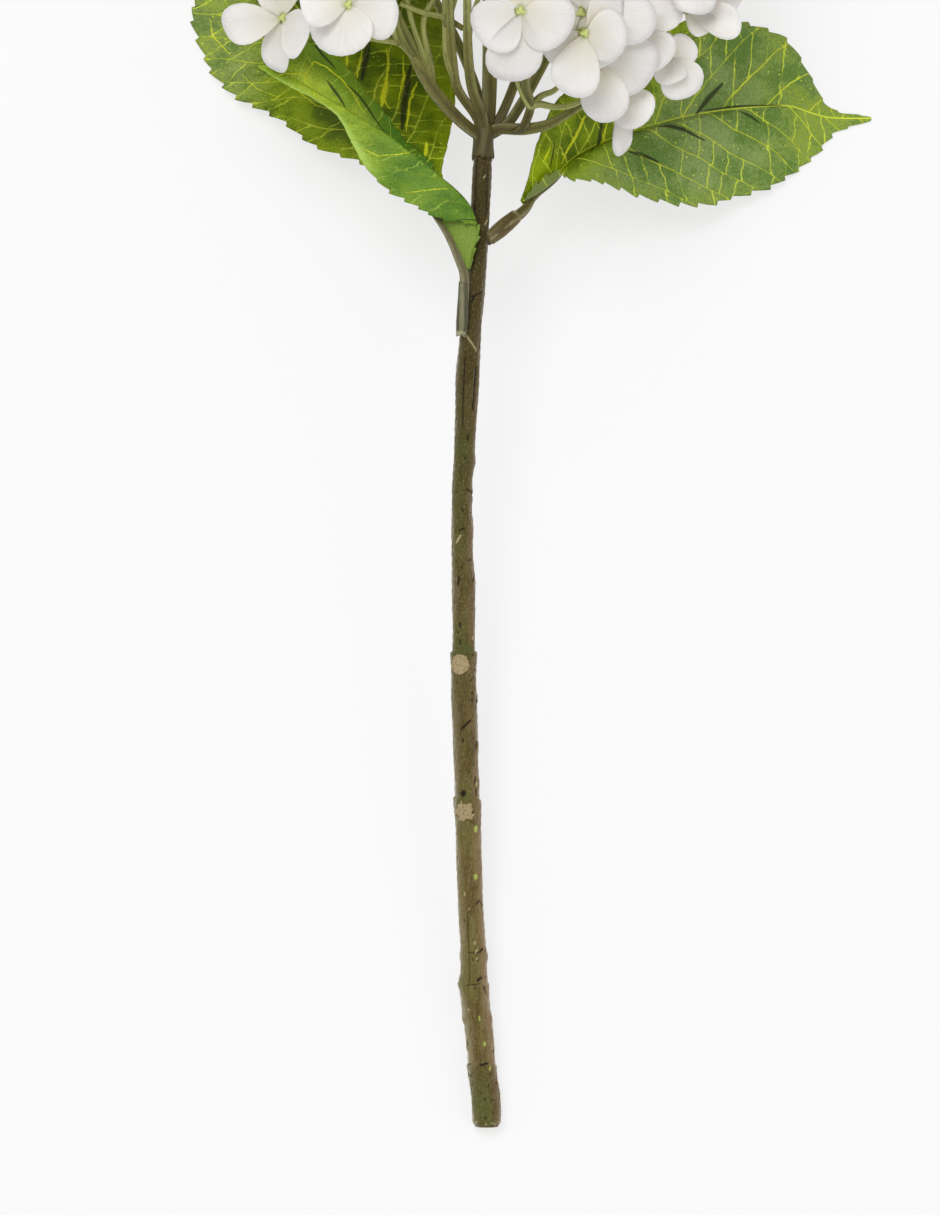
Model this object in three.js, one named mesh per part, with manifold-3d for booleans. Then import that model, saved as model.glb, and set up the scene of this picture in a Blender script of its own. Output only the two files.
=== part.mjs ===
// A cut mophead hydrangea: a woody stem with leaf scars, three toothed leaves on their stalks, and
// a domed head of white four-petalled florets carried on green branching stalks.
//
// It lies on a table with its front up. The cut end, the lowest florets and the drooping leaves come
// down to the table, which is the plane Z = 0 of the finished part.
//
// Lengths are millimetres. Every shape is written in the flower's own frame: +Y runs up the stem
// from the cut end, +X is to the right and +Z, called depth, points at someone looking at the front.
// The last lines lean the flower back until it rests.
import * as THREE from "three";
import Module from "manifold-3d";

const wasm = await Module();
wasm.setup();

// Driving dimensions of the whole flower
const STEM_LENGTH = 322.7;
const HEAD_CENTRE = new THREE.Vector3(0, 419, 0);
const HEAD_RADII = new THREE.Vector3(88, 78, 88);
const HEAD_CENTRE_HEIGHT = 81;
const CUT_END_HEIGHT = 4.25;
const PETAL_LENGTH = 23;
const PETAL_THICKNESS = 0.7;
const LEAF_THICKNESS = 0.7;
const JOINT_GAP = 0.3;
const SLIVER = 0.02;

// The lean that brings the cut end and the underside of the head down to the table together
const LEAN = Math.asin((HEAD_CENTRE_HEIGHT - CUT_END_HEIGHT) / HEAD_CENTRE.y);

// Someone looking at the front from this far sees the point VIEW_CENTRE straight ahead.
const VIEW_DISTANCE = 2000;
const VIEW_CENTRE = { x: -5.7, y: 173.2 };

const FINISHES = {
  bark: new THREE.MeshStandardMaterial({ color: 0x5d5533, roughness: 0.75 }),
  branch: new THREE.MeshStandardMaterial({ color: 0x7f7f4a, roughness: 0.65 }),
  leafStalk: new THREE.MeshStandardMaterial({ color: 0x6a6440, roughness: 0.65 }),
  leaf: new THREE.MeshStandardMaterial({ color: 0x4f7d2a, roughness: 0.6 }),
  petal: new THREE.MeshStandardMaterial({ color: 0xf1eee8, roughness: 0.8 }),
};

// Height above the table of a point of the flower's own frame.
function heightOf(point) {
  return CUT_END_HEIGHT + point.y * Math.sin(LEAN) + point.z * Math.cos(LEAN);
}

// The point at a given depth that shows at (x, y) of the plane through the stem, seen from the front.
function seen([x, y, depth]) {
  const nearer = 1 - depth / VIEW_DISTANCE;
  return new THREE.Vector3(
    VIEW_CENTRE.x + (x - VIEW_CENTRE.x) * nearer,
    VIEW_CENTRE.y + (y - VIEW_CENTRE.y) * nearer,
    depth,
  );
}

// As seen(), with the point's height above the table in place of its depth.
function seenAtHeight([x, y, height]) {
  let depth = 0;
  for (let pass = 0; pass < 3; pass += 1) {
    const rise = seen([x, y, depth]).y * Math.sin(LEAN);
    depth = (height - CUT_END_HEIGHT - rise) / Math.cos(LEAN);
  }
  return seen([x, y, depth]);
}

// Lifts a point that would lie lower than `clearance` above the table straight up to it.
function keepAboveTable(point, clearance) {
  const lift = clearance - heightOf(point);
  if (lift > 0) {
    point.y += lift * Math.sin(LEAN);
    point.z += lift * Math.cos(LEAN);
  }
  return point;
}

// A repeatable number from 0 to 1 for each whole number and salt.
function chance(index, salt) {
  const wave = Math.sin(index * 12.9898 + salt * 78.233) * 43758.5453;
  return wave - Math.floor(wave);
}

// A closed solid of its corner points and triangles
function solidOf(points, triangles) {
  const vertProperties = new Float32Array(points.flatMap((p) => [p.x, p.y, p.z]));
  const triVerts = new Uint32Array(triangles.flat());
  return new wasm.Manifold(new wasm.Mesh({ numProp: 3, vertProperties, triVerts }));
}

function join(solids) {
  return solids.reduce((whole, next) => whole.add(next));
}

// The biggest of the pieces that a cut leaves
function largest(solid) {
  return solid.decompose().reduce((big, next) => (next.volume() > big.volume() ? next : big));
}

function meshOf(name, solid, material) {
  const made = solid.getMesh();
  const geometry = new THREE.BufferGeometry();
  geometry.setAttribute("position", new THREE.BufferAttribute(made.vertProperties, 3));
  geometry.setIndex(new THREE.BufferAttribute(made.triVerts, 1));
  geometry.computeVertexNormals();
  const mesh = new THREE.Mesh(geometry, material);
  mesh.name = name;
  return mesh;
}

// A closed tube along a smooth path, its `radii` spread evenly from start to end
function tube(path, radii, sides, steps) {
  const curve = new THREE.CatmullRomCurve3(path, false, "centripetal");
  const frames = curve.computeFrenetFrames(steps, false);
  const points = [];
  for (let ring = 0; ring <= steps; ring += 1) {
    const along = (ring / steps) * (radii.length - 1);
    const low = Math.min(Math.floor(along), radii.length - 2);
    const radius = THREE.MathUtils.lerp(radii[low], radii[low + 1], along - low);
    const centre = curve.getPointAt(ring / steps);
    for (let side = 0; side < sides; side += 1) {
      const angle = (side / sides) * 2 * Math.PI;
      const point = centre.clone().addScaledVector(frames.normals[ring], radius * Math.cos(angle));
      points.push(point.addScaledVector(frames.binormals[ring], radius * Math.sin(angle)));
    }
  }
  return solidOf(points, loftFaces(sides, steps));
}

// The triangles of a closed loft through steps + 1 rings of `sides` points
function loftFaces(sides, steps) {
  const triangles = [];
  for (let ring = 0; ring < steps; ring += 1) {
    for (let side = 0; side < sides; side += 1) {
      const a = ring * sides + side;
      const b = ring * sides + ((side + 1) % sides);
      triangles.push([a, b, b + sides], [a, b + sides, a + sides]);
    }
  }
  const last = steps * sides;
  for (let side = 1; side < sides - 1; side += 1) {
    triangles.push([0, side + 1, side], [last, last + side, last + side + 1]);
  }
  return triangles;
}

// Gives a sheet of triangles its thickness: the same faces above and below, and a rim between them.
function thicken(middle, faces, thickness) {
  const normals = middle.map(() => new THREE.Vector3());
  const edges = new Map();
  for (const [a, b, c] of faces) {
    const across = new THREE.Vector3().subVectors(middle[b], middle[a]);
    const normal = across.cross(new THREE.Vector3().subVectors(middle[c], middle[a]));
    for (const corner of [a, b, c]) normals[corner].add(normal);
    for (const [from, to] of [[a, b], [b, c], [c, a]]) {
      if (!edges.delete(`${to},${from}`)) edges.set(`${from},${to}`, [from, to]);
    }
  }
  const count = middle.length;
  const above = middle.map((p, i) => p.clone().addScaledVector(normals[i].normalize(), thickness / 2));
  const below = middle.map((p, i) => p.clone().addScaledVector(normals[i], -thickness / 2));
  const triangles = faces.map((face) => [...face]);
  for (const [a, b, c] of faces) triangles.push([a + count, c + count, b + count]);
  for (const [from, to] of edges.values()) {
    triangles.push([to, from, from + count], [to, from + count, to + count]);
  }
  return solidOf([...above, ...below], triangles);
}

// Stem

// The stem's middle line and radius: distance above the cut end, sideways place, radius
const STEM_PROFILE = [
  [0, -0.2, 4.3],
  [1.5, -0.2, 4.6],
  [12, -0.8, 4.9],
  [19.5, -1.9, 4.95],
  [21.5, -2, 4.6],
  [32, -2.8, 4.8],
  [45, -4.2, 5.0],
  [53, -4.3, 4.55],
  [79, -5.7, 4.2],
  [101, -6.4, 4.3],
  [106, -6.6, 4.75],
  [108.5, -6.7, 4.2],
  [132, -7.2, 4.25],
  [150, -7.7, 4.3],
  [156, -7.8, 4.7],
  [158.5, -7.8, 4.0],
  [176, -8, 3.9],
  [194, -8.4, 3.5],
  [212, -8.3, 3.3],
  [226, -7.5, 3.4],
  [248, -6.6, 3.85],
  [266, -5.5, 3.5],
  [279, -4, 3.3],
  [300, -2.5, 3.2],
  [STEM_LENGTH, -1.5, 3.1],
];
const STEM_SIDES = 12;
const LONGEST_RING_STEP = 9;
const BUMP = { share: 0.035, turns: 3, waves: 26 };
const SPIGOT = { radius: 2, length: 7 };
const SCARS = [
  { y: 154.3, radius: 3.1, proud: 0.4, turn: 0.3 },
  { y: 105.2, radius: 2.9, proud: 0.4, turn: 0.25 },
];
const STUB = { radius: 1, length: 5 };
const ROUND_SIDES = 10;

// The stem's middle and radius at a height above the cut end
function stemPlace(y) {
  const next = Math.max(1, STEM_PROFILE.findIndex(([level]) => level >= y));
  const [y0, x0, r0] = STEM_PROFILE[next - 1];
  const [y1, x1, r1] = STEM_PROFILE[next];
  const share = (y - y0) / (y1 - y0);
  return {
    middle: new THREE.Vector3(THREE.MathUtils.lerp(x0, x1, share), y, 0),
    radius: THREE.MathUtils.lerp(r0, r1, share),
  };
}

// Rings through the profile, with one half way where they are far apart, and slow bumps round them.
// `growth` makes the whole stem that much thicker, for a cut that clears it.
function stemBody(growth) {
  const levels = [];
  STEM_PROFILE.forEach(([y], i) => {
    const before = i > 0 ? STEM_PROFILE[i - 1][0] : y;
    if (y - before > LONGEST_RING_STEP) levels.push((y + before) / 2);
    levels.push(y);
  });
  const points = levels.flatMap((y) => {
    const { middle, radius } = stemPlace(y);
    return Array.from({ length: STEM_SIDES }, (_, side) => {
      const angle = -(side / STEM_SIDES) * 2 * Math.PI;
      const bump = Math.sin(BUMP.turns * angle + (BUMP.waves * y) / STEM_LENGTH);
      const reach = radius * (1 + BUMP.share * bump) + growth;
      const outward = new THREE.Vector3(reach * Math.cos(angle), 0, reach * Math.sin(angle));
      return keepAboveTable(outward.add(middle), 0);
    });
  });
  return solidOf(points, loftFaces(STEM_SIDES, levels.length - 1));
}

// A round scar where a leaf dropped: a short disc set into the front of the stem
function scar({ y, radius, proud, turn }) {
  const { middle, radius: stemRadius } = stemPlace(y);
  const out = new THREE.Vector3(-Math.sin(turn), 0, Math.cos(turn));
  const face = middle.clone().addScaledVector(out, stemRadius + proud);
  const root = middle.clone().addScaledVector(out, stemRadius / 2);
  return tube([root, face], [radius, radius], ROUND_SIDES, 1);
}

// Leaf stalks, each as a path of [x, y, height above the table] from the stem to the blade. It
// narrows on its way to the far end of the rib, which carries on behind the blade.
const LEAF_STALKS = {
  right: {
    path: [[2.2, 297.3, 59.5], [7.7, 301.7, 57.4], [12.4, 305.4, 53.6], [17.4, 309.4, 49.6]],
    radius: 2,
  },
  left_back: {
    path: [[-5.4, 297.6, 56.4], [-8.2, 301.4, 50.8], [-12, 306.4, 45]],
    radius: 1.9,
  },
  left_front: {
    path: [
      [-8.6, 266, 58], [-8.1, 275.7, 59.8], [-7.8, 284, 60.2], [-10.6, 291.2, 60.6], [-13.2, 297.4, 61.4],
    ],
    radius: 1.9,
  },
};
const STALK_SIDES = 6;
const STALK_STEPS = 13;
const STALK_TAPER = [1, 0.75, 0.6];

// The short peg of the stem that a leaf stalk is socketed on, `growth` larger for the socket
function stub({ path }, growth) {
  const [start, next] = path.map(seenAtHeight);
  const along = next.clone().sub(start).normalize();
  const tip = start.clone().addScaledVector(along, STUB.length + growth);
  const root = stemPlace(start.y - STUB.length / 2).middle;
  const radius = STUB.radius + growth;
  return tube([root, start, tip], [radius, radius], STALK_SIDES, 3);
}

// The pin at the stem's top that the head is plugged onto, `growth` larger for the socket
function spigot(growth) {
  const top = stemPlace(STEM_LENGTH).middle;
  const root = top.clone().setY(STEM_LENGTH - SPIGOT.length);
  const tip = top.clone().setY(STEM_LENGTH + SPIGOT.length + growth);
  const radius = SPIGOT.radius + growth;
  return tube([root, tip], [radius, radius], ROUND_SIDES, 1);
}

// The whole stem in one piece
function stem() {
  const stubs = Object.values(LEAF_STALKS).map((stalk) => stub(stalk, 0));
  return join([stemBody(0), spigot(0), ...SCARS.map(scar), ...stubs]);
}

// Leaves

// Each row crosses a leaf at one place along it, from the base to the tip, and gives four points:
// the upper margin, the rib, the crest of the lower half, which folds over in front of the rib, and
// the lower margin. A point is [x, y, height above the table].
const LEAVES = {
  right: [
    [[11.2, 308.8, 53.2], [11.8, 307.8, 52.0], [12.2, 308.2, 52.8], [12.0, 308.7, 54.0]],
    [[14, 317, 54], [17, 311.6, 50.6], [18, 312.6, 52.8], [16.5, 314.5, 55]],
    [[17, 329, 54], [22.5, 316.2, 48.4], [24.3, 317.4, 51.8], [23.2, 318.6, 54.4]],
    [[21.5, 339.5, 52], [27.5, 322, 45], [27.8, 321, 49.5], [28.2, 316.2, 52]],
    [[28, 346.5, 49], [34.5, 326.5, 41], [34.4, 325, 45.5], [35.8, 315.4, 46]],
    [[38, 353, 44], [44, 330.5, 35.5], [44, 329, 39.5], [46.5, 312, 37.5]],
    [[50, 359, 37], [55, 334, 29.5], [55, 332, 33], [58.5, 308.5, 28]],
    [[63, 363, 30], [67, 337, 23.5], [67, 335, 26], [70, 307.3, 19]],
    [[76, 366.8, 22], [79, 338.9, 18], [79, 337, 20], [81, 308.8, 11]],
    [[88, 367.6, 14], [90.5, 340, 13], [90.5, 338, 14.3], [92.5, 310.8, 5]],
    [[99, 362.5, 7], [100.5, 340.3, 8.5], [100.5, 338.8, 9], [102, 317.3, 2]],
    [[107.5, 350.5, 3], [108.5, 337.8, 5], [108.5, 336.8, 5], [109.6, 324, 1]],
    [[114.5, 339.5, 1.5], [115.5, 336.3, 2.5], [115.5, 335.3, 2.5], [116, 331.5, 0.9]],
    [[128, 336.6, 0.9], [128.4, 336.2, 0.9], [128.4, 335.8, 0.9], [128, 335.4, 0.9]],
  ],
  left_back: [
    [[-8.6, 305.2, 49.6], [-9.4, 304.4, 48.8], [-9.8, 304, 48.8], [-10.6, 303.2, 49]],
    [[-15, 317, 45], [-19, 316.2, 43], [-20, 315.6, 42.6], [-27, 312.5, 39]],
    [[-13, 328, 40], [-28, 328, 37], [-30, 327, 36], [-42, 321.5, 30]],
    [[-10.8, 341, 33], [-37, 340, 29], [-39, 339, 28], [-57, 327, 19]],
    [[-10.8, 352, 26], [-46, 351.5, 21], [-48, 350.5, 20], [-71, 337, 10]],
    [[-12.5, 365, 16], [-55, 363, 14], [-57, 362, 13], [-84, 343.5, 5]],
    [[-18, 378, 6], [-63.5, 373.5, 7.6], [-65.5, 372.5, 7], [-93, 354, 2.2]],
    [[-30, 387.5, 1.4], [-71, 383, 3.2], [-73, 382, 3], [-98, 368, 1.3]],
    [[-49, 394.5, 1], [-77, 390, 1.8], [-79, 389.3, 1.6], [-96.5, 379, 1]],
    [[-69, 399, 0.9], [-81.5, 395.5, 1.3], [-83, 395, 1.2], [-92.5, 389.5, 0.9]],
    [[-86.5, 402.6, 0.9], [-87, 402.2, 0.9], [-87.4, 402, 0.9], [-87.8, 401.6, 0.9]],
  ],
  left_front: [
    [[-7.4, 286.2, 61.4], [-6.6, 286, 61.4], [-6.0, 286, 61.8], [-5.6, 286.3, 62.2]],
    [[-10.6, 293.4, 61.6], [-10.3, 291.6, 62.9], [-4.5, 292.7, 64.3], [-4, 293.4, 65]],
    [[-12.5, 301.2, 61.2], [-13, 298.3, 63.6], [-3.2, 299.3, 66.9], [-3.4, 300.9, 68.4]],
    [[-13.5, 308.5, 61.2], [-17, 304.5, 64.4], [-5.3, 306.3, 68.7], [-15, 302.7, 69.4]],
    [[-16.5, 316.5, 62.3], [-22, 311, 65.3], [-11.3, 313, 70], [-23.3, 306.7, 70]],
    [[-20.5, 323, 64.6], [-28, 318, 67], [-19, 319.7, 71.2], [-33, 312.3, 70.3]],
    [[-28, 330, 66.5], [-34.5, 325, 68.8], [-26.7, 325.7, 72.3], [-40.7, 320.3, 71.3]],
    [[-35.3, 339, 68], [-41, 331.5, 70.4], [-35.5, 332, 72.9], [-45.3, 328.5, 73]],
    [[-41, 346.3, 69.2], [-50, 340.5, 71.6], [-46.5, 338.6, 73.4], [-50, 337, 73.6]],
    [[-47.7, 353.7, 70], [-58.5, 346.2, 72], [-57.5, 344.8, 73.2], [-59, 343.4, 73.2]],
    [[-59, 361, 71], [-67, 350.8, 71.5], [-66.8, 349.6, 72.2], [-68, 348.6, 72.2]],
    [[-76, 354.4, 70.5], [-76.4, 353.9, 70.5], [-76.4, 353.5, 70.6], [-76, 353.1, 70.6]],
  ],
};
const LEAF_STEPS = 18;
const TOOTH = { depth: 1.4, notch: 0.3 };
const LEAF_SWELL = 0.035;
const RIB = { stations: [0.12, 0.25, 0.38, 0.51, 0.64], radius: 0.7 };

// The four columns of a leaf's rows as smooth curves from base to tip
function leafColumns(rows) {
  const column = (place) => rows.map((row) => seenAtHeight(row[place]));
  const curveOf = (points) => new THREE.CatmullRomCurve3(points, false, "catmullrom", 0.5);
  return rows[0].map((_, place) => curveOf(column(place)));
}

// A toothed blade. Five lines of points run along it, with one more between each margin and its
// half, and each margin has a tooth and a notch for every step. `growth` makes it that much bigger
// all round, for a cut that clears it.
function blade(rows, growth) {
  const [upper, rib, crest, lower] = leafColumns(rows);
  const points = [];
  const put = (point) => points.push(keepAboveTable(point, LEAF_THICKNESS / 2)) - 1;
  const between = (a, b) => {
    const swell = a.distanceTo(b) * LEAF_SWELL;
    return a.clone().lerp(b, 0.5).add(new THREE.Vector3(0, 0, swell));
  };
  const lines = [];
  for (let step = 0; step <= LEAF_STEPS; step += 1) {
    const along = step / LEAF_STEPS;
    const notch = Math.min(1, (step + TOOTH.notch) / LEAF_STEPS);
    const base = rib.getTangent(0).multiplyScalar(step === 0 ? -growth : 0);
    const edge = (margin, inner, place, reach) => {
      const point = margin.getPoint(place);
      const out = point.clone().sub(inner.getPoint(place)).normalize();
      return point.addScaledVector(out, reach + growth).add(base);
    };
    const reach = TOOTH.depth * Math.sqrt(Math.sin(Math.PI * along));
    const [ribPoint, crestPoint] = [rib.getPoint(along).add(base), crest.getPoint(along).add(base)];
    lines.push({
      upper: put(edge(upper, rib, along, reach)),
      upperHalf: put(between(upper.getPoint(along).add(base), ribPoint)),
      rib: put(ribPoint.clone()),
      crest: put(crestPoint.clone()),
      lowerHalf: put(between(crestPoint, lower.getPoint(along).add(base))),
      lower: put(edge(lower, crest, along, reach)),
      upperNotch: step < LEAF_STEPS ? put(edge(upper, rib, notch, 0)) : null,
      lowerNotch: step < LEAF_STEPS ? put(edge(lower, crest, notch, 0)) : null,
    });
  }
  const faces = [];
  const patch = (a, b, c, d) => faces.push([a, b, c], [a, c, d]);
  for (let step = 0; step < LEAF_STEPS; step += 1) {
    const [near, far] = [lines[step], lines[step + 1]];
    faces.push([near.upper, near.upperHalf, near.upperNotch]);
    patch(near.upperNotch, near.upperHalf, far.upperHalf, far.upper);
    patch(near.upperHalf, near.rib, far.rib, far.upperHalf);
    patch(near.rib, near.crest, far.crest, far.rib);
    patch(near.crest, near.lowerHalf, far.lowerHalf, far.crest);
    faces.push([near.lowerHalf, near.lower, near.lowerNotch]);
    faces.push([near.lowerHalf, near.lowerNotch, far.lowerHalf], [near.lowerNotch, far.lower, far.lowerHalf]);
  }
  return thicken(points, faces, LEAF_THICKNESS + 2 * growth);
}

// A leaf stalk with the rib that carries on behind the blade: socketed on its peg, and cut clear of
// the stem and the blade
function leafStalk(stalk, rows) {
  const [upper, rib, crest] = leafColumns(rows);
  const ribPoints = RIB.stations.map((along) => {
    const middle = rib.getPoint(along);
    const upperHalf = upper.getPoint(along).sub(middle).normalize();
    const lowerHalf = crest.getPoint(along).sub(middle).normalize();
    const behind = upperHalf.add(lowerHalf).setZ(Math.max(1, upperHalf.z)).normalize();
    return middle.addScaledVector(behind, -(LEAF_THICKNESS / 2 + JOINT_GAP + RIB.radius));
  });
  const radii = [...STALK_TAPER.map((share) => share * stalk.radius), RIB.radius, RIB.radius];
  const whole = tube([...stalk.path.map(seenAtHeight), ...ribPoints], radii, STALK_SIDES, STALK_STEPS);
  const clearances = [stemBody(JOINT_GAP), stub(stalk, JOINT_GAP), blade(rows, JOINT_GAP)];
  return largest(clearances.reduce((left, clearance) => left.subtract(clearance), whole));
}

// Head

// Florets that show below the rest of the head, from left to right: where each is seen, its depth,
// the way it faces and the turn of its first petal in degrees
const LOW_FLORETS = [
  { at: [-68, 369.7, 20], facing: [-0.4, -0.1, 0.9], turn: 12 },
  { at: [-46.3, 374, 56], facing: [-0.3, 0, 0.95], turn: -22 },
  { at: [-63, 392, 44], facing: [-0.6, 0, 0.7], turn: 45 },
  { at: [11.2, 372, 71], facing: [0.05, -0.1, 0.99], turn: -10 },
  { at: [32.3, 366, 58], facing: [0.35, -0.2, 0.9], turn: 60 },
  { at: [37, 355.3, 40], facing: [0.5, -0.45, 0.72], turn: 5 },
  { at: [46, 346, 22], facing: [0.45, -0.65, 0.6], turn: 0 },
  { at: [60.3, 356.5, 14], facing: [0.8, -0.4, 0.4], turn: -80 },
  { at: [66, 373, 20], facing: [0.85, 0.1, 0.35], turn: -30 },
];
const FLORET_COUNT = 48;
const HEAD_RIM = 398;
const NECK_ANGLES = [166, 126, 79, 24];
const TURNS_TRIED = 12;
const LEAST_MEETING = 1;
const GOLDEN_ANGLE = Math.PI * (3 - Math.sqrt(5));
const FLORET_SPREAD = { depth: 1.8, tilt: 0.3 };
const CLEAR_OF_LOW_FLORETS = 26;

// A petal's outline round the floret's centre: the angle from its middle in degrees and the reach
// as a share of the petal's length, ending at the notch before the next petal
const PETAL_OUTLINE = [[-36, 0.82], [-13, 1], [13, 1], [36, 0.82], [45, 0.56]];
const PETALS = 4;
const PETAL_SLOPE = { least: -0.06, spread: 0.28 };
const RESTING_HEIGHT = { bare: 0.35, overLeaf: 6.4, step: 0.4, ranks: 3 };
const LEAF_UNDER_HEAD = { x: -10, y: 414 };

// The florets' places and poses: the low ones by hand, and the rest spiralling down the head from
// its top to its rim, each a little in or out and tilted by chance.
function floretPlaces() {
  const places = LOW_FLORETS.map(({ at, facing, turn }) => ({
    centre: seen(at),
    normal: new THREE.Vector3(...facing).normalize(),
    turn: THREE.MathUtils.degToRad(turn),
  }));
  const low = places.map(({ centre }) => centre);
  const rim = (HEAD_RIM - HEAD_CENTRE.y) / HEAD_RADII.y;
  const spots = NECK_ANGLES.map((angle) => ({ level: rim, angle: THREE.MathUtils.degToRad(angle) }));
  for (let i = 0; i < FLORET_COUNT; i += 1) {
    spots.push({ level: 1 - ((i + 0.5) / FLORET_COUNT) * (1 - rim), angle: i * GOLDEN_ANGLE });
  }
  for (const [i, { level, angle }] of spots.entries()) {
    const round = Math.sqrt(1 - level * level);
    const out = new THREE.Vector3(round * Math.cos(angle), level, round * Math.sin(angle));
    const centre = out.clone().multiply(HEAD_RADII).add(HEAD_CENTRE);
    const wobble = new THREE.Vector3(chance(i, 1) - 0.5, chance(i, 2) - 0.5, chance(i, 3) - 0.5);
    const normal = out.divide(HEAD_RADII).normalize();
    normal.addScaledVector(wobble, FLORET_SPREAD.tilt).normalize();
    centre.addScaledVector(normal, (chance(i, 4) - 0.5) * FLORET_SPREAD.depth);
    if (low.some((other) => other.distanceTo(centre) < CLEAR_OF_LOW_FLORETS)) continue;
    if (i < NECK_ANGLES.length) low.push(centre);
    const quarter = Math.PI / 2;
    const turns = Array.from({ length: TURNS_TRIED }, (_, k) => ((k + chance(i, 5)) / TURNS_TRIED) * quarter);
    const meetings = turns.map((turn) => meetingsOf({ centre, normal, turn }, places));
    places.push({ centre, normal, turn: turns[meetings.indexOf(Math.max(...meetings))] });
  }
  return places;
}

// How many of its neighbours a floret's petals run into, half way between the two centres
function meetingsOf(place, others) {
  const margin = (a, b) => {
    const half = b.centre.clone().sub(a.centre).divideScalar(2);
    return outlineReach(a, half) - half.length();
  };
  const overlap = (other) => Math.min(margin(place, other), margin(other, place));
  return others.filter((other) => overlap(other) > LEAST_MEETING).length;
}

// The right and up directions in the plane of a floret
function floretAxes(normal) {
  const flat = Math.abs(normal.x) > 0.9 ? new THREE.Vector3(0, 1, 0) : new THREE.Vector3(1, 0, 0);
  const right = flat.addScaledVector(normal, -flat.dot(normal)).normalize();
  return { right, up: new THREE.Vector3().crossVectors(normal, right) };
}

// How far a floret reaches from its centre in a direction
function outlineReach({ normal, turn }, direction) {
  const { right, up } = floretAxes(normal);
  const angle = Math.atan2(direction.dot(up), direction.dot(right)) - turn;
  const sector = (2 * Math.PI) / PETALS;
  const off = Math.abs(angle - sector * Math.round(angle / sector));
  const offDegrees = THREE.MathUtils.radToDeg(off);
  const beyond = PETAL_OUTLINE.findIndex(([degrees]) => degrees > 0 && degrees >= offDegrees);
  const [d1, r1] = PETAL_OUTLINE.at(beyond);
  const [d0, r0] = PETAL_OUTLINE.at(beyond - 1);
  return PETAL_LENGTH * THREE.MathUtils.mapLinear(offDegrees, d0, d1, r0, r1);
}

// A floret: four broad petals as one notched sheet, `thickness` thick
function floret({ centre, normal, turn }, index, thickness) {
  const { right, up } = floretAxes(normal);
  const at = (angle, reach, lift) => {
    const point = centre.clone().addScaledVector(right, reach * Math.cos(angle));
    point.addScaledVector(up, reach * Math.sin(angle)).addScaledVector(normal, lift);
    const overLeaf = point.x < LEAF_UNDER_HEAD.x && point.y < LEAF_UNDER_HEAD.y;
    const rank = (index + 2) % RESTING_HEIGHT.ranks;
    const resting = overLeaf ? RESTING_HEIGHT.overLeaf : RESTING_HEIGHT.bare;
    return keepAboveTable(point, resting + rank * RESTING_HEIGHT.step);
  };
  const points = [at(0, 0, 0)];
  const faces = [];
  for (let petal = 0; petal < PETALS; petal += 1) {
    const axis = turn + (petal * 2 * Math.PI) / PETALS;
    const slope = PETAL_SLOPE.least + PETAL_SLOPE.spread * chance(index, 10 + petal);
    for (const [degrees, share] of PETAL_OUTLINE) {
      const reach = share * PETAL_LENGTH;
      const [last] = PETAL_OUTLINE.at(-1);
      points.push(at(axis + THREE.MathUtils.degToRad(degrees), reach, degrees === last ? 0 : slope * reach));
    }
  }
  for (let i = 1; i < points.length; i += 1) faces.push([0, i, i === points.length - 1 ? 1 : i + 1]);
  return thicken(points, faces, thickness);
}

// All the florets joined, with the slivers where two petals barely cross taken out
function florets(thickness) {
  const joined = join(floretPlaces().map((place, index) => floret(place, index, thickness)));
  return joined.simplify(SLIVER);
}

// The rays that fan out of the collar: path of [x, y, depth] as seen from the front, and radii
const RAYS = [
  {
    path: [
      [-1, 329, 0], [-8.3, 334.5, 2], [-17, 344, 6], [-20.7, 349.7, 8], [-25, 359, 11],
      [-29, 367.3, 13], [-34, 381, 15],
    ],
    radii: [1.9, 2.1, 2, 1.3],
  },
  {
    path: [[-1, 330, 0], [-3.4, 336.7, 2], [-9.7, 346.3, 7], [-11.3, 355.7, 12], [-12.5, 381, 26]],
    radii: [1.6, 1.5, 1.2],
  },
  {
    path: [[-0.8, 330, 1], [-1.7, 337.3, 3.5], [-4.7, 345.7, 8], [-6, 355.7, 16], [-6.5, 377, 36]],
    radii: [1.7, 1.6, 1.3],
  },
  {
    path: [[-0.8, 330, 0], [0, 337, 0], [0.8, 356, 0], [0.8, 394, 0]],
    radii: [2.4, 2.4, 2],
  },
  {
    path: [[-0.6, 330, 0], [3.9, 335.5, -1], [9.3, 347.7, -5], [11.7, 355.7, -11], [22, 382, -36]],
    radii: [1.6, 1.5, 1.3],
  },
  {
    path: [[-0.6, 330, 0], [6, 334, 0], [11, 340.7, 1], [17.3, 351.7, 4], [26, 368, 14]],
    radii: [1.7, 1.6, 1.3],
  },
  {
    path: [
      [-0.6, 330, 0], [2.7, 332.8, 1], [12.3, 332.8, 2], [20.3, 334.3, 4], [31.7, 340.8, 8], [38, 345, 9],
    ],
    radii: [1.9, 1.9, 1.3, 1.2],
  },
  {
    path: [[9, 332.3, 2], [11.5, 333, 4], [14.5, 340, 8], [13, 348, 18], [14, 360, 38]],
    radii: [1.3, 1.5, 1.1],
  },
  {
    path: [[-0.8, 330, 0], [-2.5, 342, -5], [-10, 362, -16], [-22, 384, -32]],
    radii: [1.6, 1.5, 1.3],
  },
  {
    path: [[-0.8, 330, 0], [0.5, 342, -6], [1.5, 362, -22], [2, 384, -44]],
    radii: [1.6, 1.5, 1.3],
  },
];
const COLLAR = { bottom: 323, top: 333, radius: 3.5, x: -1 };
const CROWN = { fork: 394, ring: 430, reach: 36, top: 452, branches: 6, radius: 1.4, bend: 6 };
const PEDICEL = { radius: 0.9, baseRadius: 1.17, straight: 12, sides: 3 };
const RAY_SIDES = 5;

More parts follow.
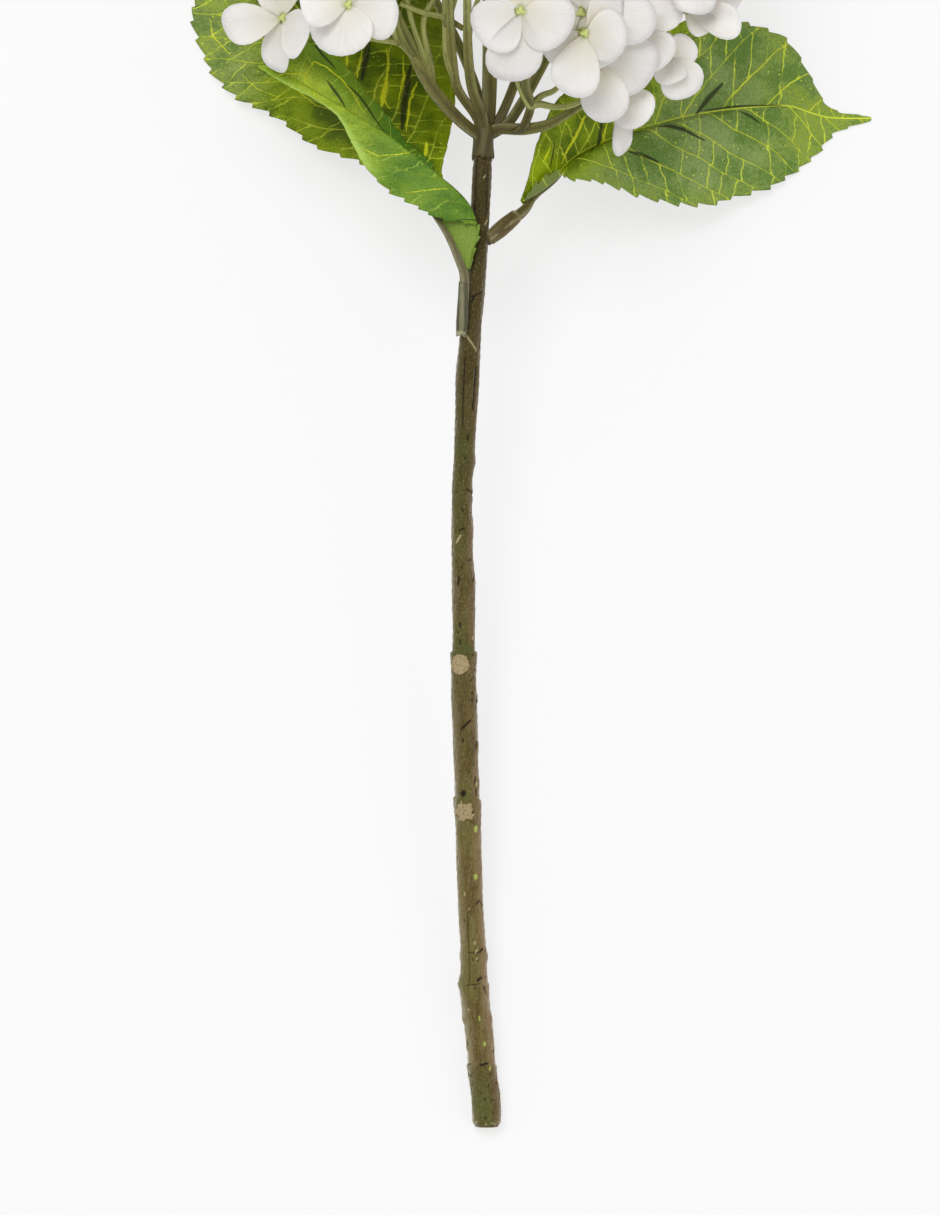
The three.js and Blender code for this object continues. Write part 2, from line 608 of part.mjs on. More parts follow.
// The upper rays, which spread from the fork of the middle ray through the dome
function crownRays() {
  const fork = new THREE.Vector3(0.8, CROWN.fork, 0);
  const ends = [new THREE.Vector3(0, CROWN.top, 0)];
  for (let k = 0; k < CROWN.branches; k += 1) {
    const angle = ((k + 0.5) / CROWN.branches) * 2 * Math.PI;
    ends.push(new THREE.Vector3(CROWN.reach * Math.cos(angle), CROWN.ring, CROWN.reach * Math.sin(angle)));
  }
  return ends.map((end) => {
    const bend = fork.clone().lerp(end, 0.5);
    bend.y += CROWN.bend;
    const start = fork.clone().setY(CROWN.fork - CROWN.bend);
    return { path: [start, bend, end], radii: [CROWN.radius, CROWN.radius * 0.8] };
  });
}

// Collar, rays and one pedicel for each floret, cut clear of the stem's spigot and the petals
function headBranches() {
  const base = new THREE.Vector3(stemPlace(STEM_LENGTH).middle.x, COLLAR.bottom, 0);
  const top = new THREE.Vector3(COLLAR.x, COLLAR.top, 0);
  const collar = tube([base, top], [COLLAR.radius, COLLAR.radius], ROUND_SIDES, 1);
  const lower = RAYS.map(({ path, radii }) => ({ path: path.map(seen), radii }));
  const rays = [...lower, ...crownRays()];
  const hubs = rays.map(({ path }) => path.at(-1));
  const pedicels = floretPlaces().map(({ centre, normal }) => {
    const reach = PETAL_THICKNESS + JOINT_GAP;
    const tip = keepAboveTable(centre.clone(), RESTING_HEIGHT.bare).addScaledVector(normal, -reach);
    const hub = hubs.reduce((near, next) => (next.distanceTo(tip) < near.distanceTo(tip) ? next : near));
    const straight = tip.clone().addScaledVector(normal, -PEDICEL.straight);
    return tube([hub, straight, tip], [PEDICEL.baseRadius, PEDICEL.radius], PEDICEL.sides, 2);
  });
  const stalks = rays.map(({ path, radii }) => tube(path, radii, RAY_SIDES, path.length));
  const whole = join([collar, ...stalks, ...pedicels]);
  const socket = spigot(JOINT_GAP);
  return largest(whole.subtract(socket).subtract(florets(PETAL_THICKNESS + 2 * JOINT_GAP)));
}

const flower = new THREE.Group();
flower.add(meshOf("stem", stem(), FINISHES.bark));
for (const [name, rows] of Object.entries(LEAVES)) {
  flower.add(meshOf(`leaf_${name}_blade`, blade(rows, 0), FINISHES.leaf));
  flower.add(meshOf(`leaf_${name}_stalk`, leafStalk(LEAF_STALKS[name], rows), FINISHES.leafStalk));
}
flower.add(meshOf("head_branches", headBranches(), FINISHES.branch));
flower.add(meshOf("florets", florets(PETAL_THICKNESS), FINISHES.petal));

flower.rotation.x = LEAN;
flower.position.z = CUT_END_HEIGHT;
const middle = new THREE.Box3().setFromObject(flower, true).getCenter(new THREE.Vector3());
flower.position.x -= middle.x;
flower.position.y -= middle.y;
export default flower;
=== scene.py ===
"""A cut mophead hydrangea lying on its back on a pale table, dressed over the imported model.

Every shape is worked out in the flower's own frame, in millimetres: +Y runs up the stem from the
middle of the cut end, +X is to the right, and +Z, the depth, points at someone looking at its front.
FlowerFrame leans the flower back until it rests on the table and turns millimetres into metres.
"""
import logging
import math
from dataclasses import dataclass, field, replace
from enum import Enum
from functools import cached_property
from typing import Any, Callable

import bpy
import numpy as np
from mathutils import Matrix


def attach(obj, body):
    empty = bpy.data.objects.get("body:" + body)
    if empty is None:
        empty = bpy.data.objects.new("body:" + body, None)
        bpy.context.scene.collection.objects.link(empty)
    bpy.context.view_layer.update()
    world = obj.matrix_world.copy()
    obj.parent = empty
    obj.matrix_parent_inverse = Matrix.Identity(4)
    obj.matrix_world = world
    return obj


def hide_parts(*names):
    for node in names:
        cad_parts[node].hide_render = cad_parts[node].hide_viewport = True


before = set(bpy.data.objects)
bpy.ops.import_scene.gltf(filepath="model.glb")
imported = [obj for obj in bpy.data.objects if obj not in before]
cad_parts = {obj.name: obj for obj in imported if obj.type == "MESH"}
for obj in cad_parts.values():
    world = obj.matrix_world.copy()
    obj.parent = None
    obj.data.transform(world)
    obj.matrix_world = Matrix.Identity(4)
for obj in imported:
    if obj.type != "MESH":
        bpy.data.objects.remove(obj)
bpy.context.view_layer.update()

Array = np.ndarray
Material = bpy.types.Material
Colour = tuple[float, float, float, float]
Row = tuple[float, ...]
Rows = tuple[Row, ...]
# Millimetres in a metre
METRE = 1000
# Millimetres in one unit of a blade's surface coordinates
SURFACE_UNIT = 100
# Points worked out along a curve for each one that is kept
POINTS_TRIED = 12
# The angle between neighbours on a plant's spiral, in radians
GOLDEN_ANGLE = math.pi * (3 - math.sqrt(5))
# About one turn in radians, for waves that start by chance
PHASES = 6.3
# The sockets of a Mix node for colours, by number
MIX_FACTOR, MIX_FIRST, MIX_SECOND, MIX_RESULT = 0, 6, 7, 2
log = logging.getLogger("hydrangea")


def srgb(*levels: int) -> Colour:
    """A linear colour from red, green and blue screen values of 0 to 255."""
    share = np.array(levels) / 255
    return (*np.where(share <= 0.04045, share / 12.92, ((share + 0.055) / 1.055) ** 2.4).tolist(), 1.0)


def chance(index: Array | float, salt: int) -> Array:
    """Repeatable numbers from 0 to 1: the fraction of a very tall sine wave at index and salt."""
    wave = np.sin(np.asarray(index) * 12.9898 + salt * 78.233) * 43758.5453
    return wave - np.floor(wave)


def pick(index: int, salt: int) -> float:
    """One repeatable number from 0 to 1."""
    return float(chance(index, salt))


def ranged(limits: Row, index: int, salt: int) -> float:
    """One repeatable number from the first limit on, over a range as wide as the second."""
    return limits[0] + limits[1] * pick(index, salt)


def smooth_step(low: float, high: float, values: Array) -> Array:
    """0 below low, 1 above high, and 3t^2 - 2t^3 of the share t between them."""
    share = np.clip((values - low) / (high - low), 0, 1)
    return share * share * (3 - 2 * share)


def unit(vectors: Array) -> Array:
    """The vectors divided by their lengths."""
    return vectors / np.maximum(np.linalg.norm(vectors, axis=-1, keepdims=True), 1e-9)


def round_once(sides: int) -> Array:
    """A row of evenly spaced angles once round."""
    return np.linspace(0, 2 * np.pi, sides, endpoint=False)[None, :]


def points_at(x: Array, y: Array, z: Array) -> Array:
    """Points from their three coordinates, each stretched to the shape that they share."""
    return np.stack(np.broadcast_arrays(x, y, z), axis=-1)


def gone_along(path: Array, power: float = 1.0) -> Array:
    """The distance gone at each point of a path, with each chord's length taken to a power."""
    return np.concatenate([[0], np.cumsum(np.linalg.norm(np.diff(path, axis=0), axis=1) ** power)])


def slopes_between(chords: Array, gaps: Array) -> Array:
    """The slope at each point between chords: the mean of the two, weighted by each other's gap."""
    inner = (chords[:-1] * gaps[1:] + chords[1:] * gaps[:-1]) / (gaps[:-1] + gaps[1:])
    return np.concatenate([chords[:1], inner, chords[-1:]])


def hermite(t: Array, gap: Array, start: tuple[Array, Array], end: tuple[Array, Array]) -> Array:
    """A cubic Hermite stretch of a given length, from the points and the slopes at its two ends.

    Args:
        t: Shares of the way along it.
        gap: Its length.
        start: The point and the slope at its start.
        end: The point and the slope at its end.

    Returns:
        Its points.
    """
    return (
        (2 * t**3 - 3 * t**2 + 1) * start[0]
        + (t**3 - 2 * t**2 + t) * gap * start[1]
        + (3 * t**2 - 2 * t**3) * end[0]
        + (t**3 - t**2) * gap * end[1]
    )


def curve_through(points: Array, knots: Array, at: Array) -> Array:
    """A smooth curve through points or numbers, of cubic Hermite stretches.

    Args:
        points: The points.
        knots: The increasing place of each along the curve.
        at: The places wanted.

    Returns:
        The curve at each place.
    """
    flat = np.asarray(points, dtype=float).reshape(len(knots), -1)
    gaps = np.diff(knots)[:, None]
    slopes = slopes_between(np.diff(flat, axis=0) / gaps, gaps)
    i = np.clip(np.searchsorted(knots, at, side="right") - 1, 0, len(knots) - 2)
    t = (np.asarray(at)[:, None] - np.asarray(knots)[i][:, None]) / gaps[i]
    found = hermite(t, gaps[i], (flat[i], slopes[i]), (flat[i + 1], slopes[i + 1]))
    return found.reshape((len(found), *np.shape(points)[1:]))


def spaced_along(path: Array, count: int) -> Array:
    """Points evenly spaced along a smooth curve.

    Args:
        path: The points that the curve goes through.
        count: How many points to return.

    Returns:
        The points.
    """
    path = np.asarray(path, dtype=float)
    knots = gone_along(path, 0.5)
    dense = curve_through(path, knots, np.linspace(0, knots[-1], POINTS_TRIED * count))
    lengths = gone_along(dense)
    wanted = np.linspace(0, lengths[-1], count)
    return np.stack([np.interp(wanted, lengths, dense[:, axis]) for axis in range(3)], axis=-1)


@dataclass(frozen=True)
class FlowerFrame:
    """How the flower lies on the table, and where its front is seen from, in millimetres."""

    foot: tuple[float, float, float] = (-15.13, -248.38, 4.25)
    head_up_stem: float = 419.0
    head_height: float = 81.0
    view_distance: float = 2000.0
    view_centre: tuple[float, float] = (-5.7, 173.2)
    view_height: float = 405.0

    @property
    def lean(self) -> float:
        """The angle that the flower leans back by, in radians."""
        return math.asin((self.head_height - self.foot[2]) / self.head_up_stem)

    def to_row(self, points: Array) -> Array:
        """Row-frame metres: the points turned by the lean about X and shifted by the foot."""
        x, y, z = np.moveaxis(np.asarray(points, dtype=float), -1, 0)
        up, out = math.sin(self.lean), math.cos(self.lean)
        turned = np.stack([x, y * out - z * up, y * up + z * out], axis=-1)
        return (turned + self.foot) / METRE

    def seen(self, points: Array | Rows | Row) -> Array:
        """The points at given depths that show at given places of the plane through the stem.

        Args:
            points: The places (x, y) on that plane, each with the depth wanted.

        Returns:
            Each place moved towards the view's centre by depth over view distance.
        """
        x, y, depth = np.moveaxis(np.asarray(points, dtype=float), -1, 0)
        nearer = 1 - depth / self.view_distance
        across = self.view_centre[0] + (x - self.view_centre[0]) * nearer
        along = self.view_centre[1] + (y - self.view_centre[1]) * nearer
        return np.stack([across, along, depth], axis=-1)

    def shown(self, points: Array) -> Array:
        """Where points of the flower's own frame show on the plane through the stem."""
        nearer = 1 - points[..., 2:] / self.view_distance
        middle = np.array(self.view_centre)
        return middle + (points[..., :2] - middle) / nearer

    def seen_at_height(self, points: Array | Rows) -> Array:
        """As seen(), with heights above the table in place of depths, which follow in three rounds
        from each height less the foot's and the rise along the leaning stem.

        Args:
            points: The places (x, y) on the plane through the stem, each with a height.

        Returns:
            The points.
        """
        x, y, height = np.moveaxis(np.asarray(points, dtype=float), -1, 0)
        depth = np.zeros_like(x)
        for _ in range(3):
            rise = self.seen(np.stack([x, y, depth], axis=-1))[..., 1] * math.sin(self.lean)
            depth = (height - self.foot[2] - rise) / math.cos(self.lean)
        return self.seen(np.stack([x, y, depth], axis=-1))

    def above_table(self, points: Array, clearance: float | Array) -> Array:
        """Lifts those points that are too low straight up from the table.

        Args:
            points: Points of the flower's own frame.
            clearance: The least height above the table.

        Returns:
            The points.
        """
        up, out = math.sin(self.lean), math.cos(self.lean)
        height = self.foot[2] + points[..., 1] * up + points[..., 2] * out
        lift = np.maximum(clearance - height, 0)
        return points + np.stack([0 * lift, lift * up, lift * out], axis=-1)


FLOWER = FlowerFrame()


@dataclass
class Patch:
    """Part of a mesh: closed, in the flower's own frame."""

    points: Array
    quads: Array
    triangles: Array = field(default_factory=lambda: np.zeros((0, 3), dtype=int))
    surface: Array | None = None
    values: dict[str, Array] = field(default_factory=dict)

    def facing_out(self) -> "Patch":
        """Turns the faces over if the volume comes out negative.

        Returns:
            The same patch.
        """
        a, b, c, d = (self.points[self.quads[:, k]] for k in range(4))
        volume = np.sum(np.cross(a, b) * c) + np.sum(np.cross(a, c) * d)
        if len(self.triangles):
            a, b, c = (self.points[self.triangles[:, k]] for k in range(3))
            volume += np.sum(np.cross(a, b) * c)
        if volume < 0:
            self.quads = self.quads[:, ::-1]
            self.triangles = self.triangles[:, ::-1]
        return self


def column(rings: Array, values: dict[str, Array] | None = None) -> Patch:
    """A closed column: quads between rings of points, and a fan over each end.

    Args:
        rings: The points, ring by ring.
        values: Numbers for each point, by name.

    Returns:
        The patch.
    """
    count, sides = rings.shape[:2]
    index = np.arange(count * sides).reshape(count, sides)
    beside = np.roll(index, -1, axis=1)
    quads = np.stack([index[:-1], beside[:-1], beside[1:], index[1:]], axis=-1).reshape(-1, 4)
    ends = np.stack([rings[0].mean(axis=0), rings[-1].mean(axis=0)])
    first = np.full(sides, count * sides)
    fans = [np.stack([first, beside[0], index[0]], axis=-1)]
    fans.append(np.stack([first + 1, index[-1], beside[-1]], axis=-1))
    filled = {
        name: np.concatenate([grid.ravel(), [grid[0].mean(), grid[-1].mean()]])
        for name, grid in (values or {}).items()
    }
    points = np.concatenate([rings.reshape(-1, 3), ends])
    return Patch(points, quads, np.concatenate(fans), values=filled).facing_out()


def sheet(grid: Array, normals: Array, thickness: float, surface: Array,
          values: dict[str, Array]) -> Patch:
    """A thin closed sheet, with a value "underside" that is 1 on its lower face.

    Args:
        grid: The middle surface, row by row.
        normals: The way its upper side faces, at each point.
        thickness: From the lower face to the upper one.
        surface: The two surface coordinates of each point.
        values: Numbers for each point, by name.

    Returns:
        The patch.
    """
    rows, columns = grid.shape[:2]
    index = np.arange(rows * columns).reshape(rows, columns)
    upper = np.stack([index[:-1, :-1], index[1:, :-1], index[1:, 1:], index[:-1, 1:]], axis=-1)
    upper = upper.reshape(-1, 4)
    lower = upper[:, ::-1] + index.size
    edge = np.concatenate([index[:, 0], index[-1, 1:], index[-2::-1, -1], index[0, -2:0:-1]])
    after = np.roll(edge, -1)
    rim = np.stack([after, edge, edge + index.size, after + index.size], axis=-1)
    half = normals * thickness / 2
    points = np.concatenate([(grid + half).reshape(-1, 3), (grid - half).reshape(-1, 3)])
    doubled = {name: np.tile(value.ravel(), 2) for name, value in values.items()}
    doubled["underside"] = np.repeat([0.0, 1.0], index.size)
    flat = np.tile(surface.reshape(-1, 2), (2, 1))
    return Patch(points, np.concatenate([upper, lower, rim]), surface=flat, values=doubled).facing_out()


def grid_normals(grid: Array) -> Array:
    """Unit normals of a grid: the cross product of its slopes along rows and columns."""
    return unit(np.cross(np.gradient(grid, axis=0), np.gradient(grid, axis=1)))


@dataclass(frozen=True)
class Flutes:
    """Shallow ridges that run along a stalk: how many, and how deep as a share of its radius."""

    count: int = 4
    depth: float = 0.08
    twist: float = 0.6

    def wave(self, angle: Array, share: Array) -> Array:
        """cos(count angle + 2 pi twist share): 1 on the ridges and -1 in the grooves."""
        return np.cos(self.count * angle + 2 * np.pi * self.twist * share)


def stalk_rings(path: Array, radii: list[float], sides: int, steps: int, flutes: Flutes) -> Array:
    """Rings round a path, of radius times (1 + depth of the flutes times their wave).

    Args:
        path: The points that the middle goes through.
        radii: Radii, spread evenly from start to end.
        sides: Points in a ring.
        steps: Stretches between rings.
        flutes: The ridges along it.

    Returns:
        The rings' points.
    """
    middle = spaced_along(path, steps + 1)
    tangent = unit(np.gradient(middle, axis=0))
    reference = np.eye(3)[np.argmin(np.abs(tangent).mean(axis=0))]
    right = unit(np.cross(tangent, reference))
    up = np.cross(tangent, right)
    share = np.linspace(0, 1, steps + 1)[:, None]
    angle = round_once(sides)
    radius = np.interp(share, np.linspace(0, 1, len(radii)), radii)
    radius = radius * (1 + flutes.depth * flutes.wave(angle, share))
    return (
        middle[:, None]
        + (radius * np.cos(angle))[..., None] * right[:, None]
        + (radius * np.sin(angle))[..., None] * up[:, None]
    )


def grooves(sides: int, steps: int, flutes: Flutes) -> Array:
    """0 on the ridges of a stalk and 1 in the grooves between them, for each point of its rings."""
    return 0.5 - 0.5 * flutes.wave(round_once(sides), np.linspace(0, 1, steps + 1)[:, None])


def stalk(path: Array, radii: list[float], growth: tuple[float, float], sides: int = 10,
          steps: int = 14, flutes: Flutes = Flutes()) -> Patch:
    """A closed stalk along a path, with a value "growth" that runs along it.

    Args:
        path: The points that its middle goes through.
        radii: Radii, spread evenly from start to end.
        growth: The value at its start and end: 0 is old and woody, 1 is young and green.
        sides: Points in a ring.
        steps: Stretches between rings.
        flutes: The ridges along it.

    Returns:
        The patch.
    """
    rings = stalk_rings(path, radii, sides, steps, flutes)
    along = np.repeat(np.linspace(*growth, steps + 1)[:, None], sides, axis=1)
    return column(rings, {"growth": along, "groove": grooves(sides, steps, flutes)})


class Slot(Enum):
    """The record's material slots."""

    BARK = "stem_bark"
    FLOWER_STALK = "flower_stalk"
    LEAF_STALK = "leaf_stalk"
    LEAF = "leaf"
    PETAL = "petal"


def added(operation: str) -> Callable[..., "Term"]:
    """A method that adds the Math node of an operation to a value's board."""
    return lambda first, *others: first.math(operation, *others)


class Term:
    """One value of a material. Sums and products of values add Math nodes to its board."""

    def __init__(self, board: "Board", socket: bpy.types.NodeSocket) -> None:
        """Wraps the output socket of a node of the board."""
        self.board = board
        self.socket = socket

    def math(self, operation: str, *others: "Term | float") -> "Term":
        """A Math node of this value and the others."""
        values = dict(enumerate((self, *others)))
        return self.board.node("ShaderNodeMath", {"operation": operation}, values)

    __add__ = __radd__ = added("ADD")
    __sub__ = added("SUBTRACT")
    __mul__ = __rmul__ = added("MULTIPLY")
    __truediv__ = added("DIVIDE")
    __abs__ = added("ABSOLUTE")
    fraction = added("FRACT")
    whole = added("FLOOR")
    power = added("POWER")
    least = added("MINIMUM")
    most = added("MAXIMUM")

    def __rsub__(self, other: float) -> "Term":
        """A number less this value."""
        return (self * -1) + other

    def rise(self, low: "Term | float", high: "Term | float") -> "Term":
        """0 up to low, 1 from high on, and a smooth step between them."""
        links = {"Value": self, "From Min": low, "From Max": high}
        return self.board.node("ShaderNodeMapRange", {"interpolation_type": "SMOOTHSTEP"}, links)

    def fall(self, low: "Term | float", high: "Term | float") -> "Term":
        """1 up to low, 0 from high on, and a smooth step between them."""
        return 1 - self.rise(low, high)


class Board:
    """The node board of one material, around one Principled shader."""

    def __init__(self, name: str) -> None:
        """Makes the material and its shader.

        Args:
            name: The material's name.
        """
        self.material = bpy.data.materials.new(name)
        self.material.use_nodes = True
        self.tree = self.material.node_tree
        self.tree.nodes.clear()
        self.shader = self.tree.nodes.new("ShaderNodeBsdfPrincipled")
        output = self.tree.nodes.new("ShaderNodeOutputMaterial")
        self.tree.links.new(self.shader.outputs[0], output.inputs["Surface"])

    def put(self, socket: bpy.types.NodeSocket, value: Any) -> None:
        """Links a value to a socket, or sets the socket to a plain number, colour or vector."""
        if isinstance(value, Term):
            self.tree.links.new(value.socket, socket)
        else:
            socket.default_value = value

    def node(self, kind: str, settings: dict[str, Any], inputs: dict[str | int, Any],
             output: str | int = 0) -> Term:
        """Adds any node.

        Args:
            kind: The node's type.
            settings: Its own settings, which are set first.
            inputs: Values or links of its sockets, by name or number.
            output: The output wanted, by name or number.

        Returns:
            The output's value.
        """
        made = self.tree.nodes.new(kind)
        for name, value in settings.items():
            setattr(made, name, value)
        for name, value in inputs.items():
            self.put(made.inputs[name], value)
        return Term(self, made.outputs[output])

    def mix(self, factor: Term | float, first: Term | Colour, second: Term | Colour) -> Term:
        """The first colour where the factor is 0, and the second where it is 1."""
        inputs = {MIX_FACTOR: factor, MIX_FIRST: first, MIX_SECOND: second}
        return self.node("ShaderNodeMix", {"data_type": "RGBA"}, inputs, MIX_RESULT)

    def layers(self, colour: Term, *coats: tuple[Term, Term | Colour]) -> Term:
        """The lowest colour with others laid over it in turn, each given by its share and colour."""
        for share, coat in coats:
            colour = self.mix(share, colour, coat)
        return colour

    def value(self, name: str) -> Term:
        """A number that the mesh holds for each point."""
        return self.node("ShaderNodeAttribute", {"attribute_name": name}, {}, "Fac")

    def place(self, size: tuple[float, float, float]) -> Term:
        """Object coordinates along the flower's own axes, divided by a size in metres."""
        coordinates = self.node("ShaderNodeTexCoord", {}, {}, "Object")
        links = {"Vector": coordinates, "Rotation": (FLOWER.lean, 0.0, 0.0), "Scale": size}
        return self.node("ShaderNodeMapping", {"vector_type": "TEXTURE"}, links)

    def surface(self) -> tuple[Term, Term]:
        """The two surface coordinates of the mesh."""
        found = self.node("ShaderNodeUVMap", {"uv_map": "surface"}, {})
        parts = self.node("ShaderNodeSeparateXYZ", {}, {0: found})
        return parts, Term(self, parts.socket.node.outputs[1])

    def point(self, x: Term | float, y: Term | float, z: Term | float = 0.0) -> Term:
        """A vector of three values."""
        return self.node("ShaderNodeCombineXYZ", {}, {0: x, 1: y, 2: z})

    def noise(self, vector: Term, detail: float = 3.0, roughness: float = 0.55) -> Term:
        """Cloudy noise from 0 to 1, with features about one unit of the vector wide."""
        links = {"Vector": vector, "Scale": 1.0, "Detail": detail, "Roughness": roughness}
        return self.node("ShaderNodeTexNoise", {}, links)

    def cells(self, vector: Term, feature: str) -> Term:
        """Distance to a random cell's middle (F1) or to its wall (DISTANCE_TO_EDGE)."""
        return self.node("ShaderNodeTexVoronoi", {"feature": feature}, {"Vector": vector, "Scale": 1.0})

    def random(self, value: Term) -> Term:
        """A random number from 0 to 1 for each whole number."""
        return self.node("ShaderNodeTexWhiteNoise", {"noise_dimensions": "1D"}, {"W": value})

    def bump(self, height: Term, distance: float, strength: float = 1.0) -> None:
        """Dents the shader's normal by a height from 0 to 1 times a distance in metres."""
        links = {"Height": height, "Distance": distance, "Strength": strength}
        self.put(self.shader.inputs["Normal"], self.node("ShaderNodeBump", {}, links))

    def finish(self, **inputs: Any) -> Material:
        """Sets the shader's sockets, named with underscores for spaces, and returns the material."""
        for name, value in inputs.items():
            self.put(self.shader.inputs[name.replace("_", " ")], value)
        return self.material


@dataclass(frozen=True)
class BarkFinish:
    """Matte bark: olive in front, greyer to the left and browner to the right, with fine grain,
    mossy patches, dark marks, lime dots and pale burrs. The grey and umber of the two sides are
    partly the bark's own tones and partly painted light on the stem's edges, which are lighter
    than the front."""

    brown: Colour = srgb(92, 76, 34)
    olive: Colour = srgb(114, 100, 52)
    umber: Colour = srgb(138, 114, 78)
    grey: Colour = srgb(150, 138, 104)
    green: Colour = srgb(92, 104, 46)
    shade: Colour = srgb(50, 43, 3)
    mark: Colour = srgb(22, 16, 8)
    lime: Colour = srgb(174, 188, 92)
    pale: Colour = srgb(196, 184, 142)
    sheen_tint: Colour = (1.0, 0.93, 0.82, 1.0)
    sheen: float = 1.0
    sheen_roughness: float = 0.35
    roughness: float = 0.5

    def material(self) -> Material:
        """Builds it.

        Returns:
            The material.
        """
        board = Board("bark")
        side = board.value("side")
        grain = board.noise(board.place((0.0005, 0.0045, 0.0005)), 4)
        blotch = board.noise(board.place((0.0035, 0.014, 0.0035)), 3)
        speck = board.noise(board.place((0.0004, 0.0007, 0.0004)), 2)
        lean = side + (blotch - 0.5) * 1.3
        moss = (board.value("moss") + (blotch - 0.5) * 1.1 - lean.rise(0.3, 1.0) * 0.4).rise(0.3, 1.1)
        colour = board.layers(
            board.mix(blotch.rise(0.35, 0.65), self.brown, self.olive),
            # Umber to the right and grey to the left: partly the bark's own tones, partly painted light
            # that makes both edges lighter than the front
            (lean.rise(0.15, 0.85) * 0.8, self.umber),
            (lean.fall(-0.95, -0.35) * 0.75, self.grey),
            (grain.rise(0.48, 0.72) * 0.4, self.grey),
            (moss * 0.75, self.green),
            (board.value("shade") * 0.82, self.shade),
            (speck.rise(0.58, 0.72) * 0.45, self.mark),
            (speck.fall(0.3, 0.42) * 0.25, self.pale),
            (board.value("mark") * 0.92, self.mark),
            (board.value("lime"), self.lime),
            (board.value("burr") * 0.85, self.pale),
        )
        board.bump(grain * 0.6 + speck * 0.4, 0.0003, 0.9)
        rough = self.roughness + (speck - 0.5) * 0.25
        return board.finish(
            Base_Color=colour,
            Roughness=rough,
            Specular_IOR_Level=0.12,
            Sheen_Weight=self.sheen,
            Sheen_Roughness=self.sheen_roughness,
            Sheen_Tint=self.sheen_tint,
        )


@dataclass(frozen=True)
class ScarFinish:
    """Rough tan cork with fine dark pits."""

    tan: Colour = srgb(160, 138, 98)
    pale: Colour = srgb(186, 168, 128)
    pit: Colour = srgb(104, 82, 50)
    roughness: float = 0.85

    def material(self) -> Material:
        """Builds it.

        Returns:
            The material.
        """
        board = Board("scar")
        crumbs = board.noise(board.place((0.0006, 0.0006, 0.0006)), 3)
        pits = board.cells(board.place((0.0007, 0.0007, 0.0007)), "F1")
        colour = board.mix(crumbs.rise(0.35, 0.65), self.tan, self.pale)
        colour = board.mix(pits.fall(0.12, 0.3) * 0.8, colour, self.pit)
        board.bump(crumbs + pits * 0.5, 0.0004)
        return board.finish(Base_Color=colour, Roughness=self.roughness)


@dataclass(frozen=True)
class StalkFinish:
    """Satin stalk that goes from old and woody at growth 0 to young and green at growth 1, with
    painted shade in its grooves and a painted highlight on its ridges.
    """

    name: str
    old: Colour
    middle: Colour
    young: Colour
    # The groove colour paints dark streaks and the painted shade in the grooves
    groove: Colour = srgb(44, 38, 18)
    ridge_highlight: Colour = srgb(186, 182, 140)
    roughness: float = 0.5

    def material(self) -> Material:
        """Builds it.

        Returns:
            The material.
        """
        board = Board(self.name)
        growth = board.value("growth")
        hollow = board.value("groove")
        streaks = board.noise(board.place((0.0006, 0.009, 0.0006)), 3)
        blotch = board.noise(board.place((0.003, 0.008, 0.003)), 2)
        mixed = growth + (blotch - 0.5) * 0.35
        crest = (hollow + (streaks - 0.5) * 0.4).fall(0.0, 0.22)
        colour = board.layers(
            board.mix(mixed.rise(0.05, 0.5), self.old, self.middle),
            (mixed.rise(0.45, 1.0), self.young),
            (streaks.rise(0.5, 0.72) * 0.4, self.groove),
            # Painted shade in the grooves between the flutes, and a painted highlight on their ridges
            (hollow.rise(0.5, 1.0) * 0.42, self.groove),
            (crest * 0.3, self.ridge_highlight),
        )
        board.bump(streaks, 0.0002, 0.7)
        return board.finish(Base_Color=colour, Roughness=self.roughness, Specular_IOR_Level=0.35)


@dataclass(frozen=True)
class Veins:
    """Where the side veins of a leaf run, in millimetres on its surface: their spacing along the rib
    and how far each moves on for a step away from the rib, below it and above it."""

    salt: float
    spacing: float = 14.5
    slant_below: float = 1.3
    slant_above: float = 0.95
    curl: float = 0.006

    def phase(self, along: Any, off: Any, above: Any) -> Any:
        """The veins' count at a place along the rib and off it, above it (1) or below it (0)."""
        slant = above * (self.slant_above - self.slant_below) + self.slant_below
        return (along - off * slant - off * off * self.curl) / self.spacing + above * 0.5 + self.salt


@dataclass(frozen=True)
class Stroke:
    """A line painted along a path on a leaf's surface: a dark streak, or else a bright vein. It is
    widest in its middle."""

    path: Array
    width: float
    dark: bool

    def shown(self, across: Term, along: Term) -> Term:
        """1 on the line and 0 beside it. The distance to each stretch is the root of the squares of
        the distances beside it and beyond its end.

        Args:
            across: Distance from the rib.
            along: Distance along the rib.

        Returns:
            The largest share of its stretches.
        """
        found = across * 0
        points = self.path.tolist()
        for step, ((x0, y0), (x1, y1)) in enumerate(zip(points[:-1], points[1:])):
            length = math.hypot(x1 - x0, y1 - y0) + 1e-6
            ahead = ((x1 - x0) / length, (y1 - y0) / length)
            x, y = across - x0, along - y0
            passed = x * ahead[0] + y * ahead[1]
            beside = x * ahead[1] - y * ahead[0]
            beyond = passed - passed.most(0).least(length)
            gap = (beside * beside + beyond * beyond).power(0.5)
            share = ((passed / length).most(0).least(1) + step) / (len(points) - 1)
            width = (share * (1 - share) * 2.6 + 0.35) * (self.width / 2)
            found = found.most((gap / width).fall(0.45, 1.4))
        return found


